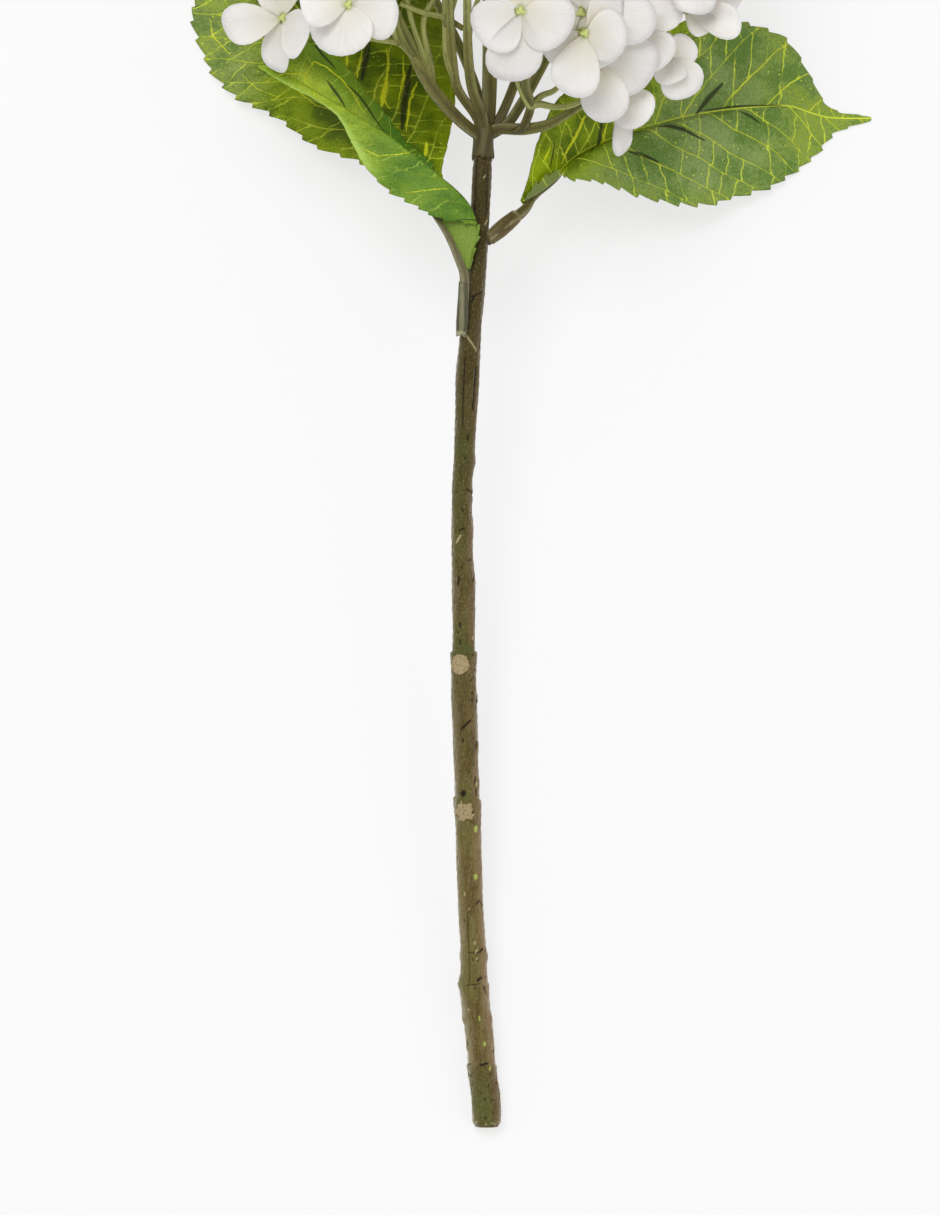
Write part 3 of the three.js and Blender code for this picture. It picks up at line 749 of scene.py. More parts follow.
@dataclass(frozen=True)
class LeafFinish:
    """Satin leaf with a thin yellow rib, curved side veins, broken rungs and dots between them, and
    painted strokes, a few of them painted shadow lines. Near the stem it takes its lit colours,
    which on the right and the back leaf paint light shining through the blade; it can also carry
    painted shade over its far half and a painted highlight along its curled lower margin. Lengths
    on the surface are in millimetres."""

    name: str
    veins: Veins
    pale: Colour = srgb(142, 165, 96)
    dark: Colour = srgb(100, 134, 56)
    # lit and lit_dark colour the part near the stem; as set here they paint light shining through the
    # blade
    lit: Colour = srgb(150, 174, 3)
    lit_dark: Colour = srgb(94, 118, 1)
    margin: Colour = srgb(144, 166, 20)
    vein: Colour = srgb(222, 236, 72)
    bright: Colour = srgb(228, 232, 40)
    underside: Colour = srgb(122, 132, 82)
    streak: Colour = srgb(36, 38, 18)
    # A painted highlight along the outer part of the lower margin, where the blade curls over
    curl_highlight: Colour = srgb(150, 186, 92)
    speck: Colour = srgb(166, 184, 112)
    # far paints shade over the far half of the blade, above the rib
    far: Colour = srgb(58, 104, 12)
    edge_share: float = 1.0
    curl_highlight_share: float = 0.0
    far_shade_share: float = 0.0
    vein_share: float = 0.97
    rung: float = 6.0
    dot_gap: float = 3.2
    roughness: float = 0.5

    def material(self, strokes: list[Stroke]) -> Material:
        """Builds the material.

        Args:
            strokes: The painted strokes.

        Returns:
            The material.
        """
        board = Board(self.name)
        salt = self.veins.salt
        across, along = board.surface()
        across, along = across * SURFACE_UNIT, along * SURFACE_UNIT
        share = board.value("share")
        under = board.value("underside")
        off = abs(across)
        above = across.rise(-0.01, 0.01)
        cloud = board.noise(board.point(across * 0.08, along * 0.08, salt), 4)
        fine = board.noise(board.point(across * 1.6, along * 1.6, salt), 3)
        bend = board.noise(board.point(across * 0.3, along * 0.3, salt + 4), 2)
        wander = board.noise(board.point(across * 0.035, along * 0.035, salt + 9), 1)
        broken = board.noise(board.point(across * 0.16, along * 0.16, salt + 14), 2)

        phase = self.veins.phase(along + (wander - 0.5) * 16 + (bend - 0.5) * 0.9, off, above)
        gap = abs((phase + 0.5).fraction() - 0.5) * self.veins.spacing
        reach = 1 - abs(share)
        side_veins = gap.fall(0.08, 0.28 + reach * 0.3) * (0.55 + broken.rise(0.35, 0.6) * 0.45)
        rib = off.fall(0.1, 0.45)
        cell = board.random((phase - 0.02).whole() + above * 57 + salt)
        step = (along + (bend - 0.5) * 2.4 + (cell - 0.5) * off * 0.5 + cell * self.rung) / self.rung
        rung_gap = abs(step.fraction() - 0.5) * self.rung
        chosen = board.random(step.whole() * 3 + cell * 40)
        rungs = rung_gap.fall(0.08, 0.36) * (0.2 + broken.rise(0.36, 0.56) * 0.8)
        rungs = rungs * chosen.rise(0.2, 0.25)
        dots = board.cells(board.point(across / self.dot_gap, along / self.dot_gap, salt), "F1")
        dots = dots.fall(0.05, 0.13)
        nodes = gap.fall(0.2, 1.0) * rung_gap.fall(0.2, 1.0) * chosen.rise(0.3, 0.5)
        shown = side_veins.most(rib).most(rungs * 0.9).most(dots).most(nodes)
        streaks = across * 0
        bright = across * 0
        wavering = across + (bend - 0.5) * 1.2, along + (fine - 0.5) * 1.2
        for stroke in strokes:
            if stroke.dark:
                streaks = streaks.most(stroke.shown(across, along))
            else:
                bright = bright.most(stroke.shown(*wavering))
        streaks = streaks * (1 - under) * (0.75 + fine * 0.5)
        bright = bright * (1 - under)

        tint = (cloud + (fine - 0.5) * 0.25).rise(0.36, 0.64)
        # Near the stem the lit colours paint light shining through the blade on the right and the back
        # leaf, lightened to make up for the head's shadow. On the front leaf they are its darker stem
        # side, and its pale and dark farther out are painted lighter to make up for the florets' shadow.
        outer = board.mix(tint, self.dark, self.pale)
        inner = board.mix(tint, self.lit_dark, self.lit)
        lit = board.value("lit")
        edge = (abs(share).rise(0.7, 1.0) * 0.8).most(along.rise(94, 118)) * cloud.rise(0.38, 0.58)
        edge = edge * self.edge_share
        # A painted highlight along the outer part of the lower margin, from half way to the tip
        curl_highlight = share.fall(-0.97, -0.84) * along.rise(38, 54)
        # Painted shade over the blade's far half, above the rib
        far = share.rise(0.1, 0.7) * (0.7 + cloud * 0.5)
        below = board.mix(tint * 0.3 + fine.fall(0.4, 0.5) * 0.3, self.underside, self.lit_dark)
        colour = board.layers(
            board.mix(lit, outer, inner),
            (edge * (0.15 + fine.rise(0.45, 0.54) * 0.8), self.margin),
            (fine.rise(0.52, 0.66) * (0.32 - lit * 0.24), self.speck),
            (fine.fall(0.36, 0.48) * 0.35, self.lit_dark),
            (curl_highlight * self.curl_highlight_share, self.curl_highlight),
            (far * self.far_shade_share, self.far),
            (gap.fall(0.4, 2.2) * reach * 0.22, self.margin),
            (under * 0.85, below),
            (shown * (self.vein_share - under * 0.35), self.vein),
            (bright * (0.55 + fine * 0.8), self.bright),
            # Dark strokes, a few of them painted shadow lines
            (streaks.least(1) * 0.84, self.streak),
        )
        height = 0.5 - side_veins.most(rib) * 0.5 + fine * 0.3
        board.bump(height, 0.0005, 0.8)
        rough = self.roughness + (fine - 0.5) * 0.2
        return board.finish(Base_Color=colour, Roughness=rough, Specular_IOR_Level=0.18)


@dataclass(frozen=True)
class PetalFinish:
    """Matte white petal, cream at its foot and green at the floret's centre, with faint rays. The
    cream is partly its own tint and partly painted shade deep in the floret, and its edge has a
    painted highlight.
    """

    white: Colour = srgb(250, 246, 242)
    shade: Colour = srgb(241, 234, 226)
    # cream: partly the petal's own tint, partly painted shade at its foot
    cream: Colour = srgb(228, 218, 190)
    green: Colour = srgb(196, 208, 124)
    roughness: float = 0.6

    def material(self) -> Material:
        """Builds it.

        Returns:
            The material.
        """
        board = Board("petal")
        angle, out = board.surface()
        tint = board.value("tint")
        rays = board.noise(board.point(angle * 26, out * 2.5, tint * 40), 3)
        cloud = board.noise(board.point(angle * 2, out * 2, tint * 60), 2)
        mottle = cloud.rise(0.3, 0.75) * 0.6 + rays.rise(0.45, 0.7) * 0.4
        # Cream towards the foot: partly the petal's own tint, partly painted shade deep in the floret
        foot_cream_and_shade = (out + (cloud - 0.5) * 0.4).fall(0.1, 0.85) * (0.25 + tint * 0.6)
        centre = (out + (rays - 0.5) * 0.1).fall(0.03, 0.17)
        colour = board.layers(
            board.mix(mottle, self.white, self.shade),
            (foot_cream_and_shade, self.cream),
            # A painted highlight along the petal's edge
            (out.rise(0.9, 1.0) * 0.6, self.white),
            (centre * 0.6, self.green),
        )
        board.bump(rays, 0.0005, 0.5)
        return board.finish(
            Base_Color=colour,
            Roughness=self.roughness,
            Subsurface_Weight=0.35,
            Subsurface_Radius=(0.6, 0.5, 0.4),
            Subsurface_Scale=0.004,
            Sheen_Weight=0.15,
        )


@dataclass(frozen=True)
class CentreFinish:
    """Waxy yellow-green bead in the middle of a floret."""

    green: Colour = srgb(196, 212, 104)
    pale: Colour = srgb(222, 230, 158)

    def material(self) -> Material:
        """Builds it.

        Returns:
            The material.
        """
        board = Board("floret_centre")
        crumbs = board.noise(board.place((0.0008, 0.0008, 0.0008)), 2)
        board.bump(crumbs, 0.0003, 0.5)
        return board.finish(Base_Color=board.mix(crumbs, self.green, self.pale), Roughness=0.45)


def new_object(name: str, data: Any) -> bpy.types.Object:
    """A new object of the scene that shows a mesh, a light or a camera."""
    made = bpy.data.objects.new(name, data)
    bpy.context.scene.collection.objects.link(made)
    return made


def make_piece(name: str, patches: list[Patch], material: Material, slot: Slot,
               stands_for: tuple[str, ...] = ()) -> bpy.types.Object:
    """Joins patches into one object that rides on the only body.

    Args:
        name: The piece's name.
        patches: The closed patches that it is made of.
        material: Its material.
        slot: The record's slot for its finish; it is not used.
        stands_for: The model's nodes that it replaces.

    Returns:
        The object.
    """
    starts = np.cumsum([0] + [len(patch.points) for patch in patches])
    points = np.concatenate([patch.points for patch in patches])
    points = FLOWER.to_row(FLOWER.above_table(points, 0.0))
    faces = []
    for start, patch in zip(starts, patches):
        faces += (patch.quads + start).tolist() + (patch.triangles + start).tolist()
    mesh = bpy.data.meshes.new(name)
    mesh.from_pydata(points.tolist(), [], faces)
    if patches[0].surface is not None:
        layer = mesh.uv_layers.new(name="surface")
        corners = np.empty(len(mesh.loops), dtype=int)
        mesh.loops.foreach_get("vertex_index", corners)
        flat = np.concatenate([patch.surface for patch in patches])
        layer.data.foreach_set("uv", flat[corners].astype(np.float32).ravel())
    for key in patches[0].values:
        stored = mesh.attributes.new(key, "FLOAT", "POINT")
        together = np.concatenate([patch.values[key] for patch in patches])
        stored.data.foreach_set("value", together.astype(np.float32))
    mesh.shade_smooth()
    mesh.materials.append(material)
    piece = new_object(name, mesh)
    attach(piece, "root")
    if stands_for:
        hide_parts(*stands_for)
    log.info("%s: %d points, %d faces", name, len(points), len(faces))
    return piece


class MarkKind(Enum):
    """What a mark on the bark looks like, by the name of the value that it adds to."""

    DARK = "mark"
    LIME = "lime"
    BURR = "burr"


@dataclass(frozen=True)
class Mark:
    """A short stroke or dot on the bark, where it shows from the front."""

    x: float
    y: float
    length: float
    tilt: float
    width: float
    kind: MarkKind = MarkKind.DARK


@dataclass
class Stem:
    """The woody stem, from the cut end to the head.

    profile gives heights with the middle's place across and the radius there, shoulders give heights
    with how far each stands out and how far below it begins, and knobs give heights with an angle
    from the front, how far each stands out and its size. moss and shaded give heights with shares,
    and the marks are rows of a Mark's fields.
    """

    length: float = 327.0
    profile: Rows = (
        (0, -0.2, 4.4), (1.5, -0.2, 4.6), (12, -0.8, 4.85), (19.5, -1.9, 4.75), (21.5, -2, 4.6),
        (32, -2.8, 4.75), (45, -4.2, 4.7), (53, -4.3, 4.4), (79, -5.7, 4.2), (98, -6.4, 4.25),
        (106, -6.6, 4.1), (112, -6.8, 4.05), (132, -7.2, 4.2), (148, -7.7, 4.2), (156, -7.8, 3.9),
        (160, -7.8, 3.75), (176, -8, 3.85), (194, -8.4, 3.5), (212, -8.3, 3.3), (226, -7.5, 3.4),
        (248, -6.6, 3.85), (266, -5.5, 3.5), (279, -4, 3.3), (300, -2.5, 3.2), (322.7, -1.5, 2.95),
        (327, -1.3, 2.6),
    )
    shoulders: Rows = (
        (20.9, 0.3, 4), (48.3, 0.4, 7), (58.3, 0.3, 5), (109.7, 0.65, 11), (158.4, 0.6, 9),
    )
    knobs: Rows = (
        (27, -75, 0.35, 1.6), (36, -80, 0.5, 1.3), (36.6, 80, 0.45, 1.5), (48.5, -80, 0.7, 2),
        (57.5, 80, 0.4, 2.5), (114.6, 75, 0.4, 1.8), (127, 82, 0.35, 2), (142, 85, 0.35, 1),
        (143.9, 85, 0.35, 0.9), (182, 85, 0.4, 4), (199.5, 80, 0.55, 4.5), (211, 90, 0.4, 3),
        (221.5, 85, 0.6, 3.5), (252, -80, 0.3, 6),
    )
    moss: Rows = (
        (0, 0.75), (19, 0.7), (23, 0.35), (48, 0.5), (75, 0.35), (98, 0.5), (107, 0.5), (110, 0.75),
        (118, 0.3), (145, 0.25), (155, 0.4), (159, 1.2), (164, 0.6), (172, 0.4), (190, 0.6),
        (226, 0.85), (245, 0.45), (262, 0.2), (322.7, 0.05),
    )
    shaded: Rows = (
        (0, 0.35), (18, 0.3), (23, 0), (90, 0), (132, 0.42), (195, 0.48), (242, 0.76), (276, 0.94),
        (327, 1),
    )
    rows: int = 900
    sides: int = 84
    bump: float = 0.035
    mark_dent: float = 0.35
    lime_height: float = 0.12
    burr_height: float = 0.15
    end_rounding: float = 0.14
    end_round_to: float = 1.8
    dark_marks: Rows = (
        (-6.9, 134.3, 3.9, 41, 0.7), (-8.1, 129, 0.9, 80, 0.5), (-4, 115.5, 2.4, 78, 0.55),
        (-8, 111.3, 0.5, 60, 2), (-5, 144.6, 0.9, 85, 0.35), (-5.1, 142.4, 0.6, 85, 0.4),
        (-4.3, 152.4, 0.5, 85, 0.5), (-4.5, 150, 0.4, 85, 0.5), (-5.4, 149, 0.4, 60, 0.5),
        (-3.6, 142, 0.7, 85, 0.7), (-3.7, 127.5, 1.8, 80, 0.7), (-4.3, 121, 0.6, 85, 0.35),
        (-3.2, 75, 1.8, 50, 0.4), (-2.2, 74.7, 1.6, -60, 0.35), (-6.2, 59.7, 24, 90, 0.05),
        (-4.3, 58.3, 4, 0, 0.05), (-2, 59.2, 1.2, 45, 0.6), (-4.6, 47.8, 4.3, 8, 0.15),
        (-2.5, 49.6, 1.4, 35, 0.9), (-0.9, 45.8, 2.7, -65, 0.6), (-3.4, 277.4, 3.6, 28, 0.5),
        (-4.8, 275.8, 1.6, 60, 0.5), (-6, 212, 2.6, -25, 0.5), (-4.2, 210.8, 1.6, -15, 0.6),
        (-5.8, 189, 1.6, 10, 0.5), (-4.6, 183.4, 3.4, 48, 0.5), (-9.6, 182, 2.6, 80, 0.4),
        (-8.6, 199.2, 1.8, 20, 0.4), (-7.9, 245, 22, 90, 0.3), (-4.2, 246, 14, 88, 0.5),
        (-0.1, 312, 16, 90, 0.3), (-3.9, 313, 18, 90, 0.35), (-6, 21, 1.4, 5, 0.8),
        (-0.9, 21.3, 2.6, 15, 0.7),
    )
    lime_marks: Rows = (
        (-3.7, 99.5, 1, 80, 1.3), (-3.8, 83.6, 0.6, 90, 1.2), (-2.6, 36.6, 1.2, 90, 0.4),
        (-0.8, 28, 0.6, 90, 0.7), (0.9, 19.8, 0.8, 70, 0.5),
    )
    burr_marks: Rows = (
        (-7.5, 77.9, 0.9, 85, 0.3), (-6, 72.9, 0.3, 85, 0.3), (-4.1, 61.6, 0.6, 85, 0.3),
        (-3.6, 59, 1.2, 60, 0.25), (-3.4, 56.4, 0.6, 50, 0.3), (-6.1, 39.4, 0.5, -30, 0.3),
        (-4.9, 163, 0.5, 85, 0.35), (-4.5, 160.8, 0.4, 85, 0.3), (-4.9, 104.1, 0.5, 30, 0.5),
        (-3.6, 114.4, 0.6, 80, 0.7), (-9.5, 196, 2.6, 60, 0.35), (-5.4, 261.6, 7.2, -52, 0.22),
        (-0.9, 316.5, 0.6, 60, 0.25), (-0.4, 301.5, 1.6, 60, 0.25),
    )
    dots: int = 130
    dot_length: float = 1.8
    sleeve_dots: int = 52
    sleeve_dot_length: float = 0.2
    rim_flecks: int = 26
    sleeve_top: float = 20.0
    rim_levels: Row = (1.0, 0.5, 0.15, 0.05, 0.05)
    rim_radii: Row = (3.4, 3.7, 3.6, 3.2, 1.0)
    scars: Rows = ((154.3, 3, -19, 0.25), (105.4, 2.9, -16, 1.3))
    scar_shares: Row = (1.05, 1.02, 0.98, 0.9, 0.75, 0.58, 0.42, 0.26, 0.12)
    scar_lifts: Row = (-2.2, -0.4, 0.1, 0.3, 0.35, 0.35, 0.33, 0.3, 0.3)
    scar_standing: float = 0.55
    scar_sides: int = 48

    def place(self, y: Array) -> tuple[Array, Array]:
        """The sideways place and the radius of the stem at heights above its cut end."""
        levels, across, radius = np.array(self.profile).T
        return curve_through(across, levels, y), curve_through(radius, levels, y)

    def marks(self) -> list[Mark]:
        """The marks that are seen from the front."""
        groups = zip(MarkKind, (self.dark_marks, self.lime_marks, self.burr_marks))
        return [Mark(*row, kind=kind) for kind, rows in groups for row in rows]

    def strokes(self) -> list[tuple[float, float, Mark]]:
        """All marks, with dots placed by chance all round and on the sleeve at the cut end, and pale
        flecks on its rim.

        Returns:
            Each mark's angle round the stem and its height, and the mark.
        """
        found = []
        for mark in self.marks():
            middle, radius = self.place(np.array([mark.y]))
            found.append((math.asin(np.clip((mark.x - middle[0]) / radius[0], -1, 1)), mark.y, mark))
        for index in range(self.dots + self.sleeve_dots):
            on_sleeve = index >= self.dots
            top = self.sleeve_top if on_sleeve else self.length
            size = 0.22 + 0.3 * pick(index, 23)
            length = self.dot_length * pick(index, 24) ** 3
            mark = Mark(0, 0, self.sleeve_dot_length if on_sleeve else length, 90, size)
            turn = 2 * math.pi * pick(index, 21)
            found.append((turn, 2 + (top - 4) * pick(index, 22), mark))
        for index in range(self.rim_flecks):
            mark = Mark(0, 0, 0.5 * pick(index, 27), 0, 0.3, MarkKind.BURR)
            turn = 2 * math.pi * pick(index, 25)
            found.append((turn, 0.7 + 1.3 * pick(index, 26), mark))
        return found

    def swelling(self, turn: Array, y: Array) -> Array:
        """How far the bark stands out at its shoulders, which rise over a fade below their wavy edge
        and drop away sharply above it, and at its knobs, which are Gaussian.

        Args:
            turn: The angle from the front of each point.
            y: Its height on the stem.

        Returns:
            The distance that it stands out.
        """
        total = np.zeros_like(turn)
        for level, height, fade in self.shoulders:
            level = level + 0.3 * np.sin(turn + level) + 0.12 * np.sin(5 * turn + level)
            total += height * smooth_step(level - fade, level - 0.5, y) * (
                1 - smooth_step(level - 0.3, level + 0.2, y))
        for level, degrees, height, size in self.knobs:
            around = (turn - math.radians(degrees) + np.pi) % (2 * np.pi) - np.pi
            total += height * np.exp(-((4 * around) ** 2 + (y - level) ** 2) / size**2)
        return total

    def painted(self, turn: Array, y: Array, radius: Array, kind: MarkKind) -> Array:
        """How strongly marks of a kind show: 1 within each stroke's half width, fading out round it,
        by the distance to the stroke on the unrolled bark.

        Args:
            turn: The angle from the front of each point.
            y: Its height on the stem.
            radius: The stem's radius there.
            kind: The marks wanted.

        Returns:
            The share of the mark's colour at each point.
        """
        shown = np.zeros_like(turn)
        for angle, level, mark in self.strokes():
            if mark.kind is not kind:
                continue
            rows = np.nonzero(np.abs(y[:, 0] - level) < mark.length + mark.width + 2)[0]
            if not len(rows):
                continue
            part = slice(rows[0], rows[-1] + 1)
            around = (turn[part] - angle + np.pi) % (2 * np.pi) - np.pi
            across, up = around * radius[part], y[part] - level
            tilt = math.radians(mark.tilt)
            along = np.abs(across * math.cos(tilt) + up * math.sin(tilt))
            beside = np.abs(up * math.cos(tilt) - across * math.sin(tilt))
            away = np.hypot(np.maximum(along - mark.length / 2, 0), beside)
            fresh = 1 - smooth_step(mark.width * 0.3, mark.width * 0.5 + 0.22, away)
            shown[part] = np.maximum(shown[part], fresh)
        return shown

    def body(self) -> Patch:
        """The bark: rings of radius times (1 + slow waves round and along), with fine ripples, dents
        at the dark marks and a rounded cut end.

        Returns:
            The patch.
        """
        y = np.linspace(0.2, self.length, self.rows)[:, None]
        turn = np.linspace(-np.pi, np.pi, self.sides, endpoint=False)[None, :]
        across, radius = (found[:, None] for found in self.place(y[:, 0]))
        angle = np.pi / 2 - turn
        wave = np.sin(3 * angle + 26 * y / self.length)
        ripple = 0.05 * np.sin(7 * turn + 0.35 * y) + 0.04 * np.sin(11 * turn - 0.9 * y + 2)
        ripple = ripple + 0.04 * np.sin(2.1 * y + 3 * np.sin(turn)) + 0.03 * np.sin(29 * turn + 0.2 * y)
        turns, heights = np.broadcast_arrays(turn, y)
        base = np.broadcast_to(radius, turns.shape)
        shown = {kind.value: self.painted(turns, heights, base, kind) for kind in MarkKind}
        reach = base * (1 + self.bump * wave) + ripple + self.swelling(turns, heights)
        reach = reach - self.mark_dent * shown["mark"] + self.lime_height * shown["lime"]
        reach = reach + self.burr_height * shown["burr"]
        reach = reach * (1 - self.end_rounding * (1 - smooth_step(0, self.end_round_to, heights)))
        for name, rows in (("moss", self.moss), ("shade", self.shaded)):
            shown[name] = np.broadcast_to(np.interp(y, *np.array(rows).T), turns.shape)
        shown["side"] = np.sin(turns)
        return column(points_at(across + reach * np.sin(turns), heights, reach * np.cos(turns)), shown)

    def cut_face(self) -> Patch:
        """The paler ring at the rim of the cut end: a thin lathe of crumbly radius.

        Returns:
            The patch.
        """
        turn = round_once(self.scar_sides)
        levels = np.array(self.rim_levels)[:, None]
        reach = np.array(self.rim_radii)[:, None] + 0.12 * np.sin(9 * turn) * np.sin(4 * turn)
        across, _ = self.place(np.zeros(1))
        return column(points_at(across + reach * np.sin(turn), levels, reach * np.cos(turn)))

    def scar(self, y: float, radius: float, turn: float, ragged: float) -> Patch:
        """A rough pad on the stem's front: rings of radius times (1 + lumps round it), with crumbs of
        two crossed sine waves.

        Args:
            y: Its height on the stem.
            radius: Its radius.
            turn: The way it faces, in degrees from the front.
            ragged: How uneven its outline and its face are.

        Returns:
            The patch.
        """
        middle, stem_radius = (found[0] for found in self.place(np.array([y])))
        share = np.array(self.scar_shares)[:, None]
        angle = round_once(self.scar_sides)
        lumps = 1 + ragged * (0.1 * np.sin(5 * angle + y) + 0.08 * np.sin(8 * angle + 1)) * share
        lumps = lumps + 0.025 * np.sin(13 * angle + y)
        right = radius * share * lumps * np.cos(angle)
        up = 1.12 * radius * share * lumps * np.sin(angle)
        crumbs = (0.1 + 0.12 * ragged) * np.sin(3.1 * right + y) * np.sin(3.4 * up + 2 * y)
        ridges = 0.25 * ragged * np.sin(5 * angle + 4 * share) * share
        lift = np.array(self.scar_lifts)[:, None]
        lift = lift + (crumbs + ridges) * (share < 0.95) - 0.45 * right**2 / (2 * stem_radius)
        face = math.radians(turn)
        outward = np.array([math.sin(face), 0, math.cos(face)])
        sideways = np.array([math.cos(face), 0, -math.sin(face)])
        centre = np.array([middle, y, 0]) + outward * (stem_radius + self.scar_standing)
        rings = centre + right[..., None] * sideways + lift[..., None] * outward
        return column(rings + up[..., None] * np.array([0, 1, 0]))

    def make(self) -> None:
        """Makes the bark, the cut end's rim and the two scars."""
        make_piece("stem_bark", [self.body()], BarkFinish().material(), Slot.BARK, ("stem",))
        cork = ScarFinish().material()
        pads = [self.scar(*scar) for scar in self.scars]
        make_piece("stem_scars", pads, cork, Slot.BARK)
        make_piece("stem_cut_rim", [self.cut_face()], cork, Slot.BARK)


@dataclass(frozen=True)
class BladeSurface:
    """The middle surface of a blade: its grid, the way its upper side faces, the distances across
    and along it from its rib and its base, and the share of the way to the margin, -1 below."""

    grid: Array
    normals: Array
    places: Array
    share: Array


@dataclass
class Leaf:
    """One toothed leaf on its stalk.

    Each row crosses the leaf at one place along it, from the base to the tip, and gives four points:
    the upper margin, the rib, the crest of the lower half, which folds over in front of the rib, and
    the lower margin, each as x, y and height above the table, as seen from the front. streaks and
    bright give its dark and its bright strokes: a width, and then x and y of each point.
    """

    name: str
    rows: Rows
    stalk_path: Rows
    stalk_radius: float
    finish: LeafFinish
    teeth: int = 24
    tooth_depth: float = 1.9
    tooth_lean: float = 0.45
    tooth_base: float = 0.4
    tooth_smoothed: float = 0.85
    tooth_columns: int = 4
    rows_per_tooth: int = 6
    swell: float = 0.035
    thickness: float = 0.5
    pucker: float = 0.45
    wave: float = 0.7
    lit_from: float = 34.0
    lit_to: float = 58.0
    lit_skew: float = 0.0
    stalk_growth: float = 0.9
    smooth_beyond: float = 1.1
    smooth_before: float = 0.0
    streaks: Rows = ()
    bright: Rows = ()
    root_depth: float = 3.0
    rib_behind: float = 1.3
    rib_span: tuple[float, float] = (0.06, 0.72)
    rib_points: int = 8
    rib_radii: tuple[float, float] = (0.55, 0.35)
    stalk_shares: tuple[float, float, float] = (1.05, 1.1, 0.95)
    neck: float = 6.0
    stalk_sides: int = 18
    stalk_steps: int = 90
    stalk_flutes: Flutes = Flutes(3, 0.13, 0.25)
    tip_share: float = 0.998
    ruffles: int = 5
    stretches: tuple[int, ...] = (14, 9, 6, 11, 14)

    @property
    def rib_column(self) -> int:
        """The column of the blade's grid that runs along the rib."""
        return sum(self.stretches[:3])

    def lines(self, places: Array) -> Array:
        """The smooth lines along the leaf: Catmull-Rom curves through the rows' points.

        Args:
            places: Shares of the way from base to tip.

        Returns:
            Six points for each place, from the lower margin to the upper one.
        """
        marks = FLOWER.seen_at_height(np.array(self.rows).reshape(-1, 4, 3))
        count = len(marks)
        padded = np.concatenate([[2 * marks[0] - marks[1]], marks, [2 * marks[-1] - marks[-2]]])
        at = np.clip(places, 0, 1) * (count - 1)
        i = np.minimum(at.astype(int), count - 2)
        t = (at - i)[:, None, None]
        a, b, c, d = (padded[i + k] for k in range(4))
        smooth = b + 0.5 * t * (c - a + t * (2 * a - 5 * b + 4 * c - d + t * (3 * (b - c) + d - a)))
        upper, rib, crest, lower = np.moveaxis(smooth, 1, 0)
        below, above = self.between(crest, lower), self.between(upper, rib)
        return np.stack([lower, below, crest, rib, above, upper], 1)

    def between(self, a: Array, b: Array) -> Array:
        """Half way between two lines, swollen towards the viewer by a share of their distance."""
        swell = np.linalg.norm(a - b, axis=-1, keepdims=True) * self.swell
        return (a + b) / 2 + swell * np.array([0, 0, 1])

    def sections(self, lines: Array) -> Array:
        """Each place's six points joined by cubic Hermite stretches, which keep a tight fold tight.

        Args:
            lines: The six points of each place.

        Returns:
            A grid: a row for each place, and a column for each step across the leaf.
        """
        points = np.moveaxis(lines, 1, 0)
        chords = np.diff(points, axis=0)
        gaps = np.linalg.norm(chords, axis=-1, keepdims=True) ** 0.5 + 1e-3
        slopes = slopes_between(chords / gaps, gaps)
        parts = []
        for k, steps in enumerate(self.stretches):
            last = k == len(self.stretches) - 1
            t = np.linspace(0, 1, steps + 1)[: None if last else -1][:, None, None]
            parts.append(hermite(t, gaps[k], (points[k], slopes[k]), (points[k + 1], slopes[k + 1])))
        return np.ascontiguousarray(np.moveaxis(np.concatenate(parts), 0, 1))

    def toothed(self, grid: Array, along: Array) -> Array:
        """Cuts teeth that lean forward into the margins: each moves out, and a share of that along
        itself, by a depth times the fraction of the tooth's length passed less the share at its
        base. The lower margin is nearly smooth beyond one place, and the upper one before another.

        Args:
            grid: The blade's middle surface.
            along: The share of the way from base to tip of each of its rows.

        Returns:
            The same grid, with its outer columns moved.
        """
        size = self.tooth_depth * np.clip(3.2 * np.sin(np.pi * along), 0, 1)
        for salt, (margin, inner) in enumerate([(0, 3), (-1, -4)]):
            shift = along * self.teeth + 0.37 * salt
            uneven = 0.65 + 0.5 * chance(np.floor(shift), 31 + salt)
            tooth = size * uneven * (shift % 1 - self.tooth_base)
            if margin == 0:
                plain = smooth_step(self.smooth_beyond - 0.1, self.smooth_beyond, along)
            else:
                plain = 1 - smooth_step(self.smooth_before - 0.1, self.smooth_before, along)
            tooth = tooth * (1 - self.tooth_smoothed * plain)
            forward = unit(np.gradient(grid[:, margin], axis=0))
            out = grid[:, margin] - grid[:, inner]
            out = unit(out - np.sum(out * forward, axis=1, keepdims=True) * forward)
            for step in range(self.tooth_columns):
                place = step if margin == 0 else -1 - step
                weight = (1 - step / self.tooth_columns) ** 2
                grid[:, place] += (out + self.tooth_lean * forward) * (tooth * weight)[:, None]
        return grid

